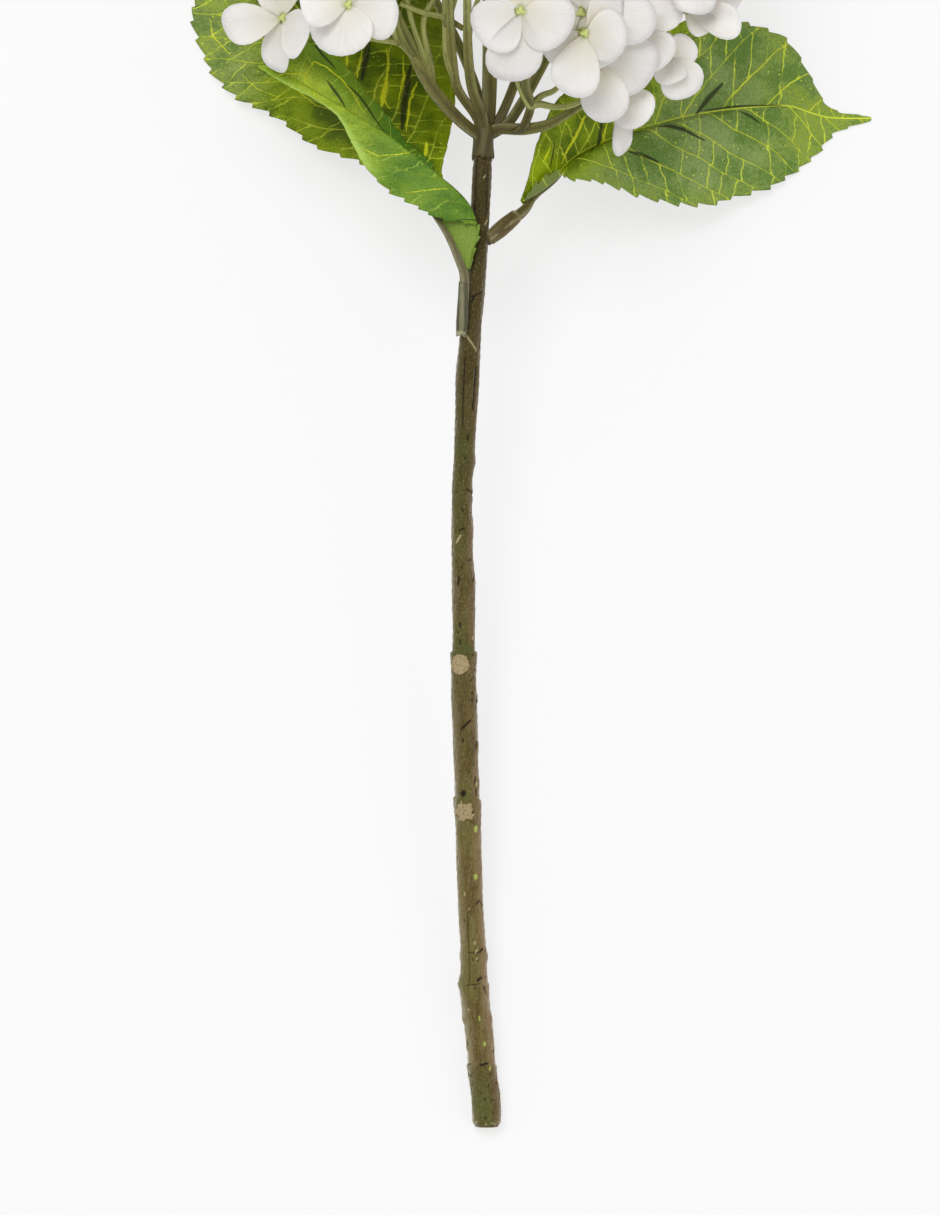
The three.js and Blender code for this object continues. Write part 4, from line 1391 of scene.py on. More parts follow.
    @cached_property
    def surface(self) -> BladeSurface:
        """The blade's sections, quilted between the veins, ruffled towards the margins and toothed.

        Returns:
            The surface.
        """
        rows = self.teeth * self.rows_per_tooth + 1
        along = np.linspace(0, 1, rows)
        grid = self.sections(self.lines(along * self.tip_share))
        steps = np.linalg.norm(np.diff(grid, axis=1), axis=-1)
        across = np.concatenate([np.zeros((rows, 1)), np.cumsum(steps, axis=1)], axis=1)
        across = across - across[:, self.rib_column : self.rib_column + 1]
        length = gone_along(grid[:, self.rib_column])
        ends = np.where(across < 0, -across[:, :1], across[:, -1:])
        share = across / np.maximum(ends, 1e-6)
        normals = grid_normals(grid)
        upper_half = normals[rows // 4 : 3 * rows // 4, self.rib_column + 4 :, 2]
        normals = normals * np.sign(upper_half.mean())
        off = np.abs(across)
        phase = self.finish.veins.phase(length[:, None], off, across > 0)
        hollow = np.abs(2 * (phase % 1) - 1) ** 2
        quilt = self.pucker * (0.5 - hollow) * smooth_step(1, 8, off)
        quilt = quilt * (1 - smooth_step(0.6, 1, np.abs(share)))
        ruffle = self.wave * np.sin(2 * np.pi * self.ruffles * along[:, None] + 2 * share)
        ruffle = ruffle * np.abs(share) ** 4 * np.sin(np.pi * along)[:, None]
        grid = grid + normals * (quilt + ruffle)[..., None]
        grid = FLOWER.above_table(self.toothed(grid, along), self.thickness / 2 + 0.05)
        places = np.stack([across, np.broadcast_to(length[:, None], across.shape)], axis=-1)
        return BladeSurface(grid, normals, places, share)

    def painted(self) -> list[Stroke]:
        """Finds the strokes on the surface, in front where the blade lies over itself.

        Returns:
            The strokes.
        """
        shown, depth = FLOWER.shown(self.surface.grid), self.surface.grid[..., 2]
        found = []
        for dark, rows in ((True, self.streaks), (False, self.bright)):
            for width, *numbers in rows:
                path = []
                for point in np.array(numbers).reshape(-1, 2):
                    away = np.linalg.norm(shown - point, axis=-1)
                    order = np.where(away < max(0.9, away.min() + 0.05), depth, -np.inf)
                    path.append(self.surface.places[np.unravel_index(np.argmax(order), order.shape)])
                found.append(Stroke(np.array(path), width, dark))
        return found

    def blade(self) -> Patch:
        """The blade as a thin closed sheet."""
        found = self.surface
        from_stem = np.abs(found.grid[..., 0]) - self.lit_skew * found.share
        values = {"share": found.share, "lit": 1 - smooth_step(self.lit_from, self.lit_to, from_stem)}
        return sheet(found.grid, found.normals, self.thickness, found.places / SURFACE_UNIT, values)

    def stalk(self) -> Patch:
        """The stalk, and the rib that carries on behind the blade.

        Returns:
            The patch.
        """
        grid, normals = self.surface.grid, self.surface.normals
        rows = (np.linspace(*self.rib_span, self.rib_points) * (len(grid) - 1)).astype(int)
        behind = grid[rows, self.rib_column] - self.rib_behind * normals[rows, self.rib_column]
        start = FLOWER.seen_at_height(self.stalk_path)
        root = start[:1] - self.root_depth * unit(start[1:2] - start[:1])
        path = np.concatenate([root, start, behind])
        gone = gone_along(path)
        base = gone[len(start)]
        levels = [0, 0.4 * base, base, base + self.neck, gone[-1]]
        widths = [share * self.stalk_radius for share in self.stalk_shares] + list(self.rib_radii)
        radii = np.interp(np.linspace(0, gone[-1], 60), levels, widths)
        sizes = (self.stalk_sides, self.stalk_steps, self.stalk_flutes)
        return stalk(path, radii.tolist(), (0.0, self.stalk_growth), *sizes)

    def make(self, stalk_material: Material) -> None:
        """Makes the blade and the stalk.

        Args:
            stalk_material: The stalk's material.
        """
        blade, stem = f"leaf_{self.name}_blade", f"leaf_{self.name}_stalk"
        material = self.finish.material(self.painted())
        make_piece(f"blade_{self.name}", [self.blade()], material, Slot.LEAF, (blade,))
        make_piece(f"stalk_{self.name}", [self.stalk()], stalk_material, Slot.LEAF_STALK, (stem,))


RIGHT_LEAF: Rows = (
    (11.2, 308.8, 53.2, 11.8, 307.8, 52, 12.2, 308.2, 52.8, 12, 308.7, 54),
    (14, 317, 54, 17, 311.6, 50.6, 18, 312.6, 52.8, 16.5, 314.5, 55),
    (17, 329, 54, 22.5, 316.2, 48.4, 24.3, 317.4, 51.8, 23.2, 318.6, 54.4),
    (21.5, 339.5, 52, 27.5, 322, 45, 27.8, 321, 49.5, 28.2, 316.2, 52),
    (28, 346.5, 49, 34.5, 326.5, 41, 34.4, 325, 45.5, 35.8, 315.4, 46),
    (38, 353, 44, 44, 330.5, 35.5, 44, 329, 39.5, 46.5, 312, 37.5),
    (50, 361.5, 37, 55, 334, 29.5, 55, 332, 33, 58.5, 308.5, 28),
    (63, 367.5, 30, 67, 337, 23.5, 67, 335, 26, 70, 307.3, 19),
    (76, 369, 22, 79, 338.9, 18, 79, 337, 20, 81, 309.4, 11),
    (88, 367.6, 14, 90.5, 340, 13, 90.5, 338, 14.3, 92.5, 312.8, 5),
    (99, 362.5, 7, 100.5, 340.3, 8.5, 100.5, 338.8, 9, 102, 318, 2),
    (107.5, 350.5, 3, 108.5, 337.8, 5, 108.5, 336.8, 5, 109.6, 324, 1),
    (114.5, 339.5, 1.5, 115.5, 336.3, 2.5, 115.5, 335.3, 2.5, 116, 331.5, 0.9),
    (128, 336.6, 0.9, 128.4, 336.2, 0.9, 128.4, 335.8, 0.9, 128, 335.4, 0.9),
)
LEFT_BACK_LEAF: Rows = (
    (-8.6, 305.2, 49.6, -9.4, 304.4, 48.8, -9.8, 304, 48.8, -10.6, 303.2, 49),
    (-15, 317, 45, -19, 316.2, 43, -20, 315.6, 42.6, -27, 312.5, 39),
    (-13, 328, 40, -28, 328, 37, -30, 327, 36, -42, 321.5, 30),
    (-10.8, 341, 33, -37, 340, 29, -39, 339, 28, -57, 327, 19),
    (-10.8, 352, 26, -46, 351.5, 21, -48, 350.5, 20, -71, 337, 10),
    (-12.5, 365, 16, -55, 363, 14, -57, 362, 13, -84, 343.5, 5),
    (-18, 378, 6, -63.5, 373.5, 7.6, -65.5, 372.5, 7, -93, 354, 2.2),
    (-30, 387.5, 1.4, -71, 383, 3.2, -73, 382, 3, -98, 368, 1.3),
    (-49, 394.5, 1, -77, 390, 1.8, -79, 389.3, 1.6, -96.5, 379, 1),
    (-69, 399, 0.9, -81.5, 395.5, 1.3, -83, 395, 1.2, -92.5, 389.5, 0.9),
    (-86.5, 402.6, 0.9, -87, 402.2, 0.9, -87.4, 402, 0.9, -87.8, 401.6, 0.9),
)
LEFT_FRONT_LEAF: Rows = (
    (-7.4, 286.2, 61.4, -6.6, 286, 61.4, -6, 286, 61.8, -5.6, 286.3, 62.2),
    (-10.6, 293.4, 61.6, -10.3, 291.6, 62.9, -4.5, 292.7, 64.3, -4, 293.4, 65),
    (-12.5, 301.2, 61.2, -13, 298.3, 63.6, -3.2, 299.3, 66.9, -3.4, 300.9, 68.4),
    (-13.5, 308.5, 61.2, -17, 304.5, 64.4, -5.3, 306.3, 68.7, -15, 302.7, 69.4),
    (-16.5, 316.5, 62.3, -22, 311, 65.3, -11.3, 313, 70, -23.3, 306.7, 70),
    (-20.5, 323, 64.6, -28, 318, 67, -19, 319.7, 71.2, -33, 312.3, 70.3),
    (-28, 330, 66.5, -34.5, 325, 68.8, -26.7, 325.7, 72.3, -40.7, 320.3, 71.3),
    (-35.3, 339, 68, -41, 331.5, 70.4, -35.5, 332, 72.9, -45.3, 328.5, 73),
    (-41, 346.3, 69.2, -50, 340.5, 71.6, -46.5, 338.6, 73.4, -50, 337, 73.6),
    (-47.7, 353.7, 70, -58.5, 346.2, 72, -57.5, 344.8, 73.2, -59, 343.4, 73.2),
    (-59.5, 361.6, 71, -66, 350.8, 71.5, -65.8, 348.8, 72.2, -66, 347, 72.2),
    (-67, 356.2, 71, -71, 352.4, 71.2, -71, 351.2, 71.6, -71, 350, 71.6),
    (-76.3, 354.2, 70.5, -76.5, 353.9, 70.5, -76.5, 353.6, 70.6, -76.3, 353.4, 70.6),
)


# Dark strokes on the right leaf: the last is a painted shadow line along the upper side of the rib
RIGHT_STREAKS: Rows = (
    (2, 69.6, 338, 74.3, 342.5, 78.4, 347.3), (1.5, 56.2, 334, 60.5, 334.2, 65.2, 332.8, 72.8, 328.5),
    (1.4, 47.5, 325.4, 52, 324, 57.3, 321.3), (1.8, 34.6, 325.7, 38.3, 335.6),
    (0.9, 23, 328, 21.3, 319.7), (1, 83.8, 339.1, 88.2, 337.4, 91.3, 334.6),
    (0.8, 71, 338.6, 84, 340.4, 98, 341.3),
)
RIGHT_BRIGHT: Rows = (
    (1.3, 33.3, 336.8, 29.9, 330.6, 25.3, 321.3), (0.7, 40.2, 335.6, 35.8, 327),
    (0.7, 21.7, 327, 19.2, 321.3),
)
LEFT_BACK_STREAKS: Rows = (
    (2.4, -25.3, 354, -27.3, 343.5, -29, 332.7), (2.1, -40, 362, -42.3, 349),
)
LEFT_BACK_BRIGHT: Rows = (
    (0.8, -33.2, 360.3, -33.6, 354, -34.2, 347.3, -34.8, 342, -32.7, 339.8),
    (1.9, -34, 348.5, -35.2, 340.5), (0.5, -28, 357.3, -28.6, 350.7, -30, 339.4),
    (0.4, -27.1, 352.3, -28.2, 342.3), (0.9, -46.8, 358.7, -46.8, 354.2),
    (0.6, -41.5, 359, -43.3, 350.3), (0.8, -23.7, 349, -26, 342.3, -27.3, 331.8),
    (1.2, -20.1, 329, -21.2, 324), (0.35, -92.3, 370, -91.8, 364.6, -89, 359.6, -85.7, 357.3),
    (0.25, -82.3, 351, -77, 346.5, -70, 343), (0.25, -66, 347, -58, 340.5, -48, 338),
)
# Dark strokes on the front leaf: the third is a painted shadow line along the leaf's fold
LEFT_FRONT_STREAKS: Rows = (
    (1.1, -53.7, 349.5, -50.8, 345.7, -47.5, 340.7),
    (0.9, -46.7, 348.1, -43.3, 345.3, -38.7, 339.3, -33.7, 332.3),
    (0.9, -57.8, 361.9, -54, 357.7, -50, 353), (0.6, -14, 297.7, -9.5, 301.8),
)
LEFT_FRONT_BRIGHT: Rows = (
    (0.45, -60.7, 351.5, -57.3, 355.5, -53.2, 353.6, -49, 350.2, -41.5, 339),
    (0.4, -60.8, 351.3, -56.8, 344.3), (0.4, -69.5, 351.3, -61, 351.3),
    (0.3, -42.3, 326.8, -36.8, 324, -23.4, 324.7), (0.25, -28, 311.8, -13.4, 313.4),
    (0.4, -11, 295, -8, 298),
)


@dataclass
class Sheath:
    """A thin sleeve round the foot of a leaf's stalk, torn at the first end of its path."""

    name: str
    path: Rows
    radii: Row
    finish: StalkFinish
    growth: Rows = ((0, 0.03, 0.1, 0.75, 1), (1.2, 0.9, 0, 0.2, 0.4))
    torn: float = 0.9
    sides: int = 28
    steps: int = 22
    flutes: Flutes = Flutes(2, 0.12, 0.1)

    def make(self) -> None:
        """Makes the sleeve: a fluted stalk whose two end rings are pushed along it in torn points."""
        path = FLOWER.seen_at_height(self.path)
        rings = stalk_rings(path, list(self.radii), self.sides, self.steps, self.flutes)
        angle = round_once(self.sides)[0]
        ragged = self.torn * (np.sin(5 * angle) * np.sin(3 * angle + 1) - 0.3)
        along = unit(path[-1] - path[0])
        rings[0] += ragged[:, None] * along
        rings[-1] -= 0.6 * ragged[:, None] * along
        share = np.linspace(0, 1, len(rings))
        growth = np.interp(share, *self.growth)
        growth = np.broadcast_to(growth[:, None], rings.shape[:2])
        values = {"growth": growth, "groove": grooves(self.sides, self.steps, self.flutes)}
        material = self.finish.material()
        make_piece(f"sheath_{self.name}", [column(rings, values)], material, Slot.LEAF_STALK)


@dataclass(frozen=True)
class Tip:
    """Where one petal of a listed floret ends, as seen from the front, how wide the petal
    is, and by what share its outer part narrows."""

    x: float
    y: float
    depth: float
    width: float = 17.0
    taper: float = 0.0


@dataclass(frozen=True)
class Place:
    """Where one floret sits: its centre, the way it faces, the turn of its first petal, the tips of
    its petals if it is listed one by one, and its number."""

    centre: Array
    normal: Array
    turn: float
    tips: list[Tip] = field(default_factory=list)
    index: int = 0

    @property
    def axes(self) -> tuple[Array, Array]:
        """The right and up directions in the plane of the floret."""
        flat = np.array([0.0, 1.0, 0.0] if abs(self.normal[0]) > 0.9 else [1.0, 0.0, 0.0])
        right = unit(flat - self.normal * (flat @ self.normal))
        return right, np.cross(self.normal, right)


@dataclass(frozen=True)
class PetalShape:
    """How one petal lies: its directions along and across, its length, half of its fan's angle, its
    slope out of the floret's plane and the share by which its outer part narrows."""

    ahead: Array
    side: Array
    length: float
    half_angle: float
    slope: float = 0.0
    taper: float = 0.0


@dataclass
class Head:
    """The domed head: collar, rays, pedicels and florets.

    low and fillers give each listed floret: its centre as seen, the way it faces, the turn of its
    first petal and the numbers of its petals' tips. rays gives each ray's path and radii, and
    fork_stalks and young_stalks the paths of thinner stalks. Where two numbers make a range by
    chance, they are its least value and how far it goes beyond that.
    """

    centre: tuple[float, float, float] = (0.0, 419.0, 0.0)
    radii: tuple[float, float, float] = (88.0, 78.0, 88.0)
    rim: float = 398.0
    count: int = 48
    neck_angles: Row = (166, 126, 79, 24)
    tilt: float = 0.3
    depth: float = 1.8
    pinwheel: float = 0.12
    clear: float = 26.0
    inner_count: int = 40
    inner_size: float = 0.86
    inner_rim: float = -0.1
    turns: int = 12
    petals: int = 4
    petal_length: float = 23.0
    petal_outline: Rows = ((13, 1), (36, 0.82), (45, 0.56))
    petal_reach: float = 56.0
    petal_width: float = 0.97
    petal_blunt: float = 2.5
    petal_rows: int = 8
    petal_columns: int = 21
    petal_thickness: float = 0.35
    petal_start: float = 0.07
    turn_spread: float = 0.12
    lengths: Row = (0.9, 0.13)
    slopes: Row = (-0.06, 0.28)
    cups: Row = (-0.5, 1.1)
    curls: Row = (-0.05, 0.3)
    lobe_depth: float = 0.045
    lobe_wave: float = 3.5
    ruffle_height: float = 0.9
    ruffle_wave: float = 5.5
    leaf_edge: tuple[float, float] = (-10.0, 414.0)
    over_leaf: float = 6.4
    over_table: float = 0.35
    stagger: float = 0.4
    spiral_start: float = 1.9
    bead_levels: Row = (-0.3, 0.7, 1.7)
    bead_radii: Row = (1.0, 1.35, 1.15, 0.75, 0.25)
    bead_flutes: Flutes = Flutes(3, 0.28, 0)
    cup_levels: Row = (-4.2, -2, -0.25)
    cup_radii: Row = (0.8, 1.0, 1.5, 2.1)
    cup_flutes: Flutes = Flutes(5, 0.1, 0)
    pedicel_radii: Row = (1.25, 0.95, 0.85)
    pedicel_end: float = 3.5
    collar_levels: Row = (323.4, 322.9, 324, 326.5, 329, 331, 333, 334.6, 335.6)
    collar_radii: Row = (3.15, 3.55, 3.75, 3.5, 3.4, 3.75, 3.7, 2.8, 1.6)
    collar_middle: Rows = ((322, 336), (-1.5, -0.7))
    collar_sides: int = 48
    low: tuple[tuple[Any, ...], ...] = (
        ((-68, 369.7, 20), (-0.4, -0.1, 0.9), 12,
         (-88.4, 366.4, 14, 13.5), (-71.5, 353, 8, 11.5), (-60.3, 361, 34, 16), (-72.3, 386.3, 20)),
        ((-46.3, 374, 56), (-0.3, 0, 0.95), -22,
         (-29.7, 369, 60, 15), (-53, 358.2, 54, 28), (-63, 375.5, 62, 16), (-44, 391, 58)),
        ((-63, 392, 44), (-0.6, 0, 0.7), 45,
         (-82, 398, 36), (-60, 377, 38, 14), (-48, 396, 46), (-66, 410, 46)),
        ((11.2, 372, 71), (0.05, -0.1, 0.99), -10,
         (-3.5, 362.3, 66, 19), (8.3, 347.7, 64, 18), (27.7, 364.3, 70, 20), (13.7, 391.5, 70, 19)),
        ((32.5, 364.6, 58), (0.25, -0.15, 0.95), 60,
         (27.7, 343.7, 56, 16), (47.7, 363, 56, 18), (18.5, 356, 51, 14), (46, 378, 52, 14)),
        ((37, 355.3, 40), (0.15, -0.15, 0.97), 5,
         (41, 335.7, 38, 16), (57, 352, 36, 21), (22, 352, 30, 14), (44, 371, 36, 16)),
        ((46, 346, 22), (0.2, -0.2, 0.95), 0,
         (51.7, 334.3, 24, 16), (45.6, 323.3, 18, 12.5, 0.55), (32, 347, 14, 12), (52, 362, 18)),
        ((60.3, 356.5, 14), (0.35, -0.1, 0.93), -80,
         (68.3, 343.4, 13, 15), (69, 362, 14, 12), (62.3, 348, 18, 12), (55, 366, 10, 12)),
        ((66, 373, 20), (0.2, 0.1, -0.97), -30,
         (74.5, 365.2, 18, 9), (85, 367, 24, 11), (69.7, 389, 20, 18), (84, 380, 16, 15)),
    )
    fillers: tuple[tuple[Any, ...], ...] = (
        ((31.3, 371.3, 50), (0, -0.1, 1), 0,
         (56, 369, 46, 18), (34, 392, 46, 18), (19, 370, 50, 15), (40, 353, 44, 15)),
        ((50.5, 365.5, 28), (0.1, 0, 1), 0,
         (62.3, 376, 31, 14), (59.8, 353.5, 29, 15), (42, 377, 28, 14), (43, 352, 24, 14)),
        ((71, 388, 34), (0.3, 0.2, 0.93), 0,
         (69.7, 370.7, 36, 14), (87, 383, 28, 14), (56, 392, 34), (75, 404, 30)),
    )
    rays: tuple[tuple[Rows, Row], ...] = (
        (((-1, 329, 0), (-8.3, 334.5, 2), (-17, 344, 6), (-20.7, 349.7, 8), (-25, 359, 11),
          (-29, 367.3, 13), (-34, 381, 15)), (1.9, 2.1, 2, 1.3)),
        (((-1, 330, 0), (-3.4, 336.7, 2), (-9.7, 346.3, 7), (-11.3, 355.7, 12), (-12.5, 381, 26)),
         (1.6, 1.5, 1.2)),
        (((-0.8, 330, 1), (-1.7, 337.3, 3.5), (-4.7, 345.7, 8), (-6, 355.7, 16), (-6.5, 377, 36)),
         (1.7, 1.6, 1.3)),
        (((-0.8, 330, 0), (0, 337, 0), (0.8, 356, 0), (0.8, 394, 0)), (2.4, 2.4, 2)),
        (((-0.6, 330, 0), (3.9, 335.5, -1), (9.3, 347.7, -5), (11.7, 355.7, -11), (22, 382, -36)),
         (1.6, 1.5, 1.3)),
        (((-0.6, 330, 0), (6, 334, 0), (11, 340.7, 1), (17.3, 351.7, 4), (26, 368, 14)),
         (1.7, 1.6, 1.3)),
        (((-0.6, 330, 0), (2.7, 332.8, 1), (12.3, 332.8, 2), (20.3, 334.3, 4), (31.7, 340.8, 8),
          (38, 345, 9)), (1.9, 1.9, 1.3, 1.2)),
        (((9, 332.3, 2), (11.5, 333, 4), (14.5, 340, 8), (13, 348, 18), (14, 360, 38)),
         (1.3, 1.5, 1.1)),
        (((-0.8, 330, 0), (-2.5, 342, -5), (-10, 362, -16), (-22, 384, -32)), (1.6, 1.5, 1.3)),
        (((-0.8, 330, 0), (0.5, 342, -6), (1.5, 362, -22), (2, 384, -44)), (1.6, 1.5, 1.3)),
    )
    fork_stalks: tuple[Rows, ...] = (
        ((14.3, 340, 8.5), (17, 341, 9.5), (23, 340, 10.5), (29.3, 341, 11), (36, 346, 12)),
        ((14.3, 340, 8.5), (18, 343.7, 10), (22, 345.3, 12), (27, 350, 16)),
        ((14.3, 340, 8.5), (12, 344, 12), (10, 349, 17), (7, 358, 26)),
    )
    young_stalks: tuple[Rows, ...] = (
        ((-39.7, 363, 17), (-35, 362.2, 17), (-29.5, 361.2, 14), (-25, 357, 12), (-20.5, 351.5, 9)),
        ((-31.3, 366.5, 19), (-30.5, 363.5, 16), (-29.3, 361, 14)),
        ((-29, 374.5, 16), (-21.5, 371.6, 17), (-14.1, 369.8, 17), (-8, 366.2, 15)),
        ((-26.8, 376, 15), (-24.8, 367.5, 14), (-22.5, 361, 12.5), (-19.9, 353, 9.5), (-18.6, 347, 7)),
        ((-17.2, 377, 14), (-20.6, 371, 14.5), (-21.2, 366, 14), (-20, 359.5, 12), (-18.3, 352, 9),
         (-17.9, 346, 6.7)),
        ((-14.3, 379, 14), (-14, 367, 14), (-13.6, 356.5, 12.5), (-11.6, 350.5, 9.5), (-9.9, 346.5, 7.2)),
        ((-10.6, 376, 18), (-12.4, 370.6, 17), (-13.8, 367.2, 14.8)),
        ((-2.6, 377, 22), (-5, 370, 19), (-6.1, 362.5, 18), (-5.9, 355.7, 16)),
        ((-32.2, 378, 20), (-30.6, 370, 18), (-27.8, 362, 14.4), (-24.5, 357, 12)),
    )
    crown_fork: float = 394.0
    crown_ring: float = 430.0
    crown_reach: float = 36.0
    crown_top: float = 452.0
    crown_branches: int = 6
    crown_bend: float = 6.0
    crown_radii: Row = (1.4, 1.1)
    pedicel_straight: float = 12.0

    def reach(self, place: Place, direction: Array) -> float:
        """How far a floret reaches: a petal's length times the outline's share at the angle off it.

        Args:
            place: Where the floret sits.
            direction: The direction wanted.

        Returns:
            The distance from its centre.
        """
        right, up = place.axes
        angle = math.atan2(direction @ up, direction @ right) - place.turn
        sector = 2 * math.pi / self.petals
        off = math.degrees(abs(angle - sector * math.floor(angle / sector + 0.5)))
        degrees, shares = np.array(self.petal_outline).T
        return self.petal_length * float(np.interp(off, degrees, shares))

    def meetings(self, place: Place, others: list[Place]) -> int:
        """Counts the neighbours that a floret meets: both reach at least a little past half way.

        Args:
            place: Where the floret sits.
            others: The florets that are there already.

        Returns:
            How many it meets.
        """
        found = 0
        for other in others:
            half = (other.centre - place.centre) / 2
            span = float(np.linalg.norm(half))
            ahead = self.reach(place, half) - span
            back = self.reach(other, -half) - span
            found += min(ahead, back) > 1
        return found

    def placed(self, rows: tuple[tuple[Any, ...], ...]) -> list[Place]:
        """Florets placed one by one.

        Args:
            rows: For each, its centre as seen, the way it faces, the turn of its first petal and the
                numbers of its petals' tips.

        Returns:
            The places.
        """
        found = []
        for at, way, turn, *ends in rows:
            centre, normal = FLOWER.seen(at), unit(np.array(way))
            found.append(Place(centre, normal, math.radians(turn), [Tip(*end) for end in ends]))
        return found

    def on_dome(self, level: float, angle: float) -> Array:
        """The direction from the middle of a round dome to a level from -1 to 1, at an angle round it."""
        reach = math.sqrt(1 - level * level)
        return np.array([reach * math.cos(angle), level, reach * math.sin(angle)])

    def facing(self, out: Array, radii: Array, index: int, salts: tuple[int, ...]) -> Array:
        """The way that a floret of the dome faces: outwards, with a tilt by chance."""
        wobble = np.array([pick(index, salt) - 0.5 for salt in salts])
        return unit(unit(out / radii) + wobble * self.tilt)

    def places(self) -> list[Place]:
        """The florets: the low ones as listed, and the rest on a golden-angle spiral over an ellipsoid,
        each a little in or out, tilted and turned by chance.

        Returns:
            The places, with the fillers last.
        """
        found = self.placed(self.low)
        near = [place.centre for place in found]
        middle, radii = np.array(self.centre), np.array(self.radii)
        rim = (self.rim - middle[1]) / radii[1]
        spots = [(rim, math.radians(angle)) for angle in self.neck_angles]
        spots += [(1 - (i + 0.5) / self.count * (1 - rim), i * GOLDEN_ANGLE) for i in range(self.count)]
        for i, (level, angle) in enumerate(spots):
            out = self.on_dome(level, angle)
            centre = out * radii + middle
            normal = self.facing(out, radii, i, (1, 2, 3))
            centre = centre + normal * (pick(i, 4) - 0.5) * self.depth
            if any(np.linalg.norm(other - centre) < self.clear for other in near):
                continue
            if i < len(self.neck_angles):
                near.append(centre)
            turns = [(k + pick(i, 5)) / self.turns * math.pi / 2 for k in range(self.turns)]
            scores = [self.meetings(Place(centre, normal, turn), found) for turn in turns]
            found.append(Place(centre, normal, turns[int(np.argmax(scores))]))
        return found + self.placed(self.fillers)

    def inner_places(self) -> list[Place]:
        """Florets that fill the gaps: a second spiral on a smaller dome.

        Returns:
            The places.
        """
        middle, radii = np.array(self.centre), np.array(self.radii) * self.inner_size
        found = []
        for i in range(self.inner_count):
            level = 1 - (i + 0.2) / self.inner_count * (1 - self.inner_rim)
            out = self.on_dome(level, i * GOLDEN_ANGLE + self.spiral_start)
            normal = self.facing(out, radii, i, (6, 7, 8))
            found.append(Place(out * radii + middle, normal, 2 * math.pi * pick(i, 9)))
        return found

    def resting_height(self, points: Array, place: Place) -> Array:
        """How high a floret's points lie at least: above the leaf under the head, or on the table."""
        over_leaf = (points[..., 0] < self.leaf_edge[0]) & (points[..., 1] < self.leaf_edge[1])
        return np.where(over_leaf, self.over_leaf, self.over_table) + (place.index + 2) % 3 * self.stagger

    def foot(self, place: Place) -> Array:
        """Where the middle of a floret lies, lifted to its resting height."""
        return FLOWER.above_table(place.centre, self.resting_height(place.centre, place))

    def petal_shape(self, place: Place, petal: int) -> PetalShape:
        """How a petal lies: by its tip if that is given, or else by the floret's turn and chance.

        Args:
            place: Where its floret sits.
            petal: The petal's number in it.

        Returns:
            The petal's directions and sizes.
        """
        key = place.index * self.petals + petal
        if place.tips:
            tip = place.tips[petal]
            reach = FLOWER.seen((tip.x, tip.y, tip.depth)) - place.centre
            length = float(np.linalg.norm(reach))
            ahead = reach / length
            side = unit(np.cross(place.normal, ahead))
            half_angle = math.radians(self.petal_reach) * tip.width / (self.petal_width * length)
            return PetalShape(ahead, side, length, half_angle, taper=tip.taper)
        right, up = place.axes
        turn = place.turn + petal * 2 * math.pi / self.petals
        turn = turn + self.turn_spread * (pick(key, 45) - 0.5)
        ahead = math.cos(turn) * right + math.sin(turn) * up
        length = self.petal_length * ranged(self.lengths, key, 41)
        slope = ranged(self.slopes, place.index, 10 + petal)
        side = np.cross(place.normal, ahead)
        return PetalShape(ahead, side, length, math.radians(self.petal_reach), slope)

    def petal(self, place: Place, petal: int) -> Patch:
        """One petal: a fan of rays of length L sqrt(1 - (angle/reach)^b) times a slow wave. Its lift
        is slope r + cup across^2/L - curl r^2/L, plus a tilt across it, so that each petal laps
        over the next, and a ruffle that grows with r squared.

        Args:
            place: Where its floret sits.
            petal: The petal's number in it.

        Returns:
            The patch.
        """
        key = place.index * self.petals + petal
        shape = self.petal_shape(place, petal)
        length = shape.length
        across_share = np.linspace(-0.99, 0.99, self.petal_columns)[None, :]
        row = np.linspace(self.petal_start, 1, self.petal_rows)[:, None]
        spread = np.sin(across_share * np.pi / 2)
        rim = np.sqrt(1 - np.abs(spread) ** self.petal_blunt)
        lobes = 1 + self.lobe_depth * np.sin(self.lobe_wave * spread + PHASES * pick(key, 47))
        r = length * row * np.maximum(rim, 0.1) * (1 + (lobes - 1) * row)
        angle = shape.half_angle * spread * (1 - shape.taper * row)
        cup, curl = ranged(self.cups, key, 42), ranged(self.curls, key, 43)
        across = r * np.sin(angle)
        ruffle = self.ruffle_height * np.sin(self.ruffle_wave * spread + PHASES * pick(key, 44))
        ruffle = ruffle * (r / length) ** 2
        lift = shape.slope * r + cup * across**2 / length - curl * r**2 / length
        lift = lift + self.pinwheel * across + ruffle
        grid = place.centre + (r * np.cos(angle))[..., None] * shape.ahead
        grid = grid + across[..., None] * shape.side
        grid = grid + lift[..., None] * np.cross(shape.ahead, shape.side)
        grid = FLOWER.above_table(grid, self.resting_height(grid, place))
        normals = grid_normals(grid)
        surface = np.stack([np.broadcast_to(spread, r.shape), r / length], axis=-1)
        tint = np.full(r.shape, pick(key, 46))
        return sheet(grid, normals, self.petal_thickness, surface, {"tint": tint})

    def centre_bead(self, place: Place) -> Patch:
        """The bead in the middle of a floret: a short three-lobed dome along its normal."""
        path = [self.foot(place) + place.normal * level for level in self.bead_levels]
        return stalk(np.array(path), list(self.bead_radii), (1, 1), 18, 8, self.bead_flutes)

    def calyx(self, place: Place) -> Patch:
        """The small green cup behind a floret, narrowing into its pedicel."""
        path = [self.foot(place) + place.normal * level for level in self.cup_levels]
        return stalk(np.array(path), list(self.cup_radii), (0.6, 0.8), 10, 6, self.cup_flutes)

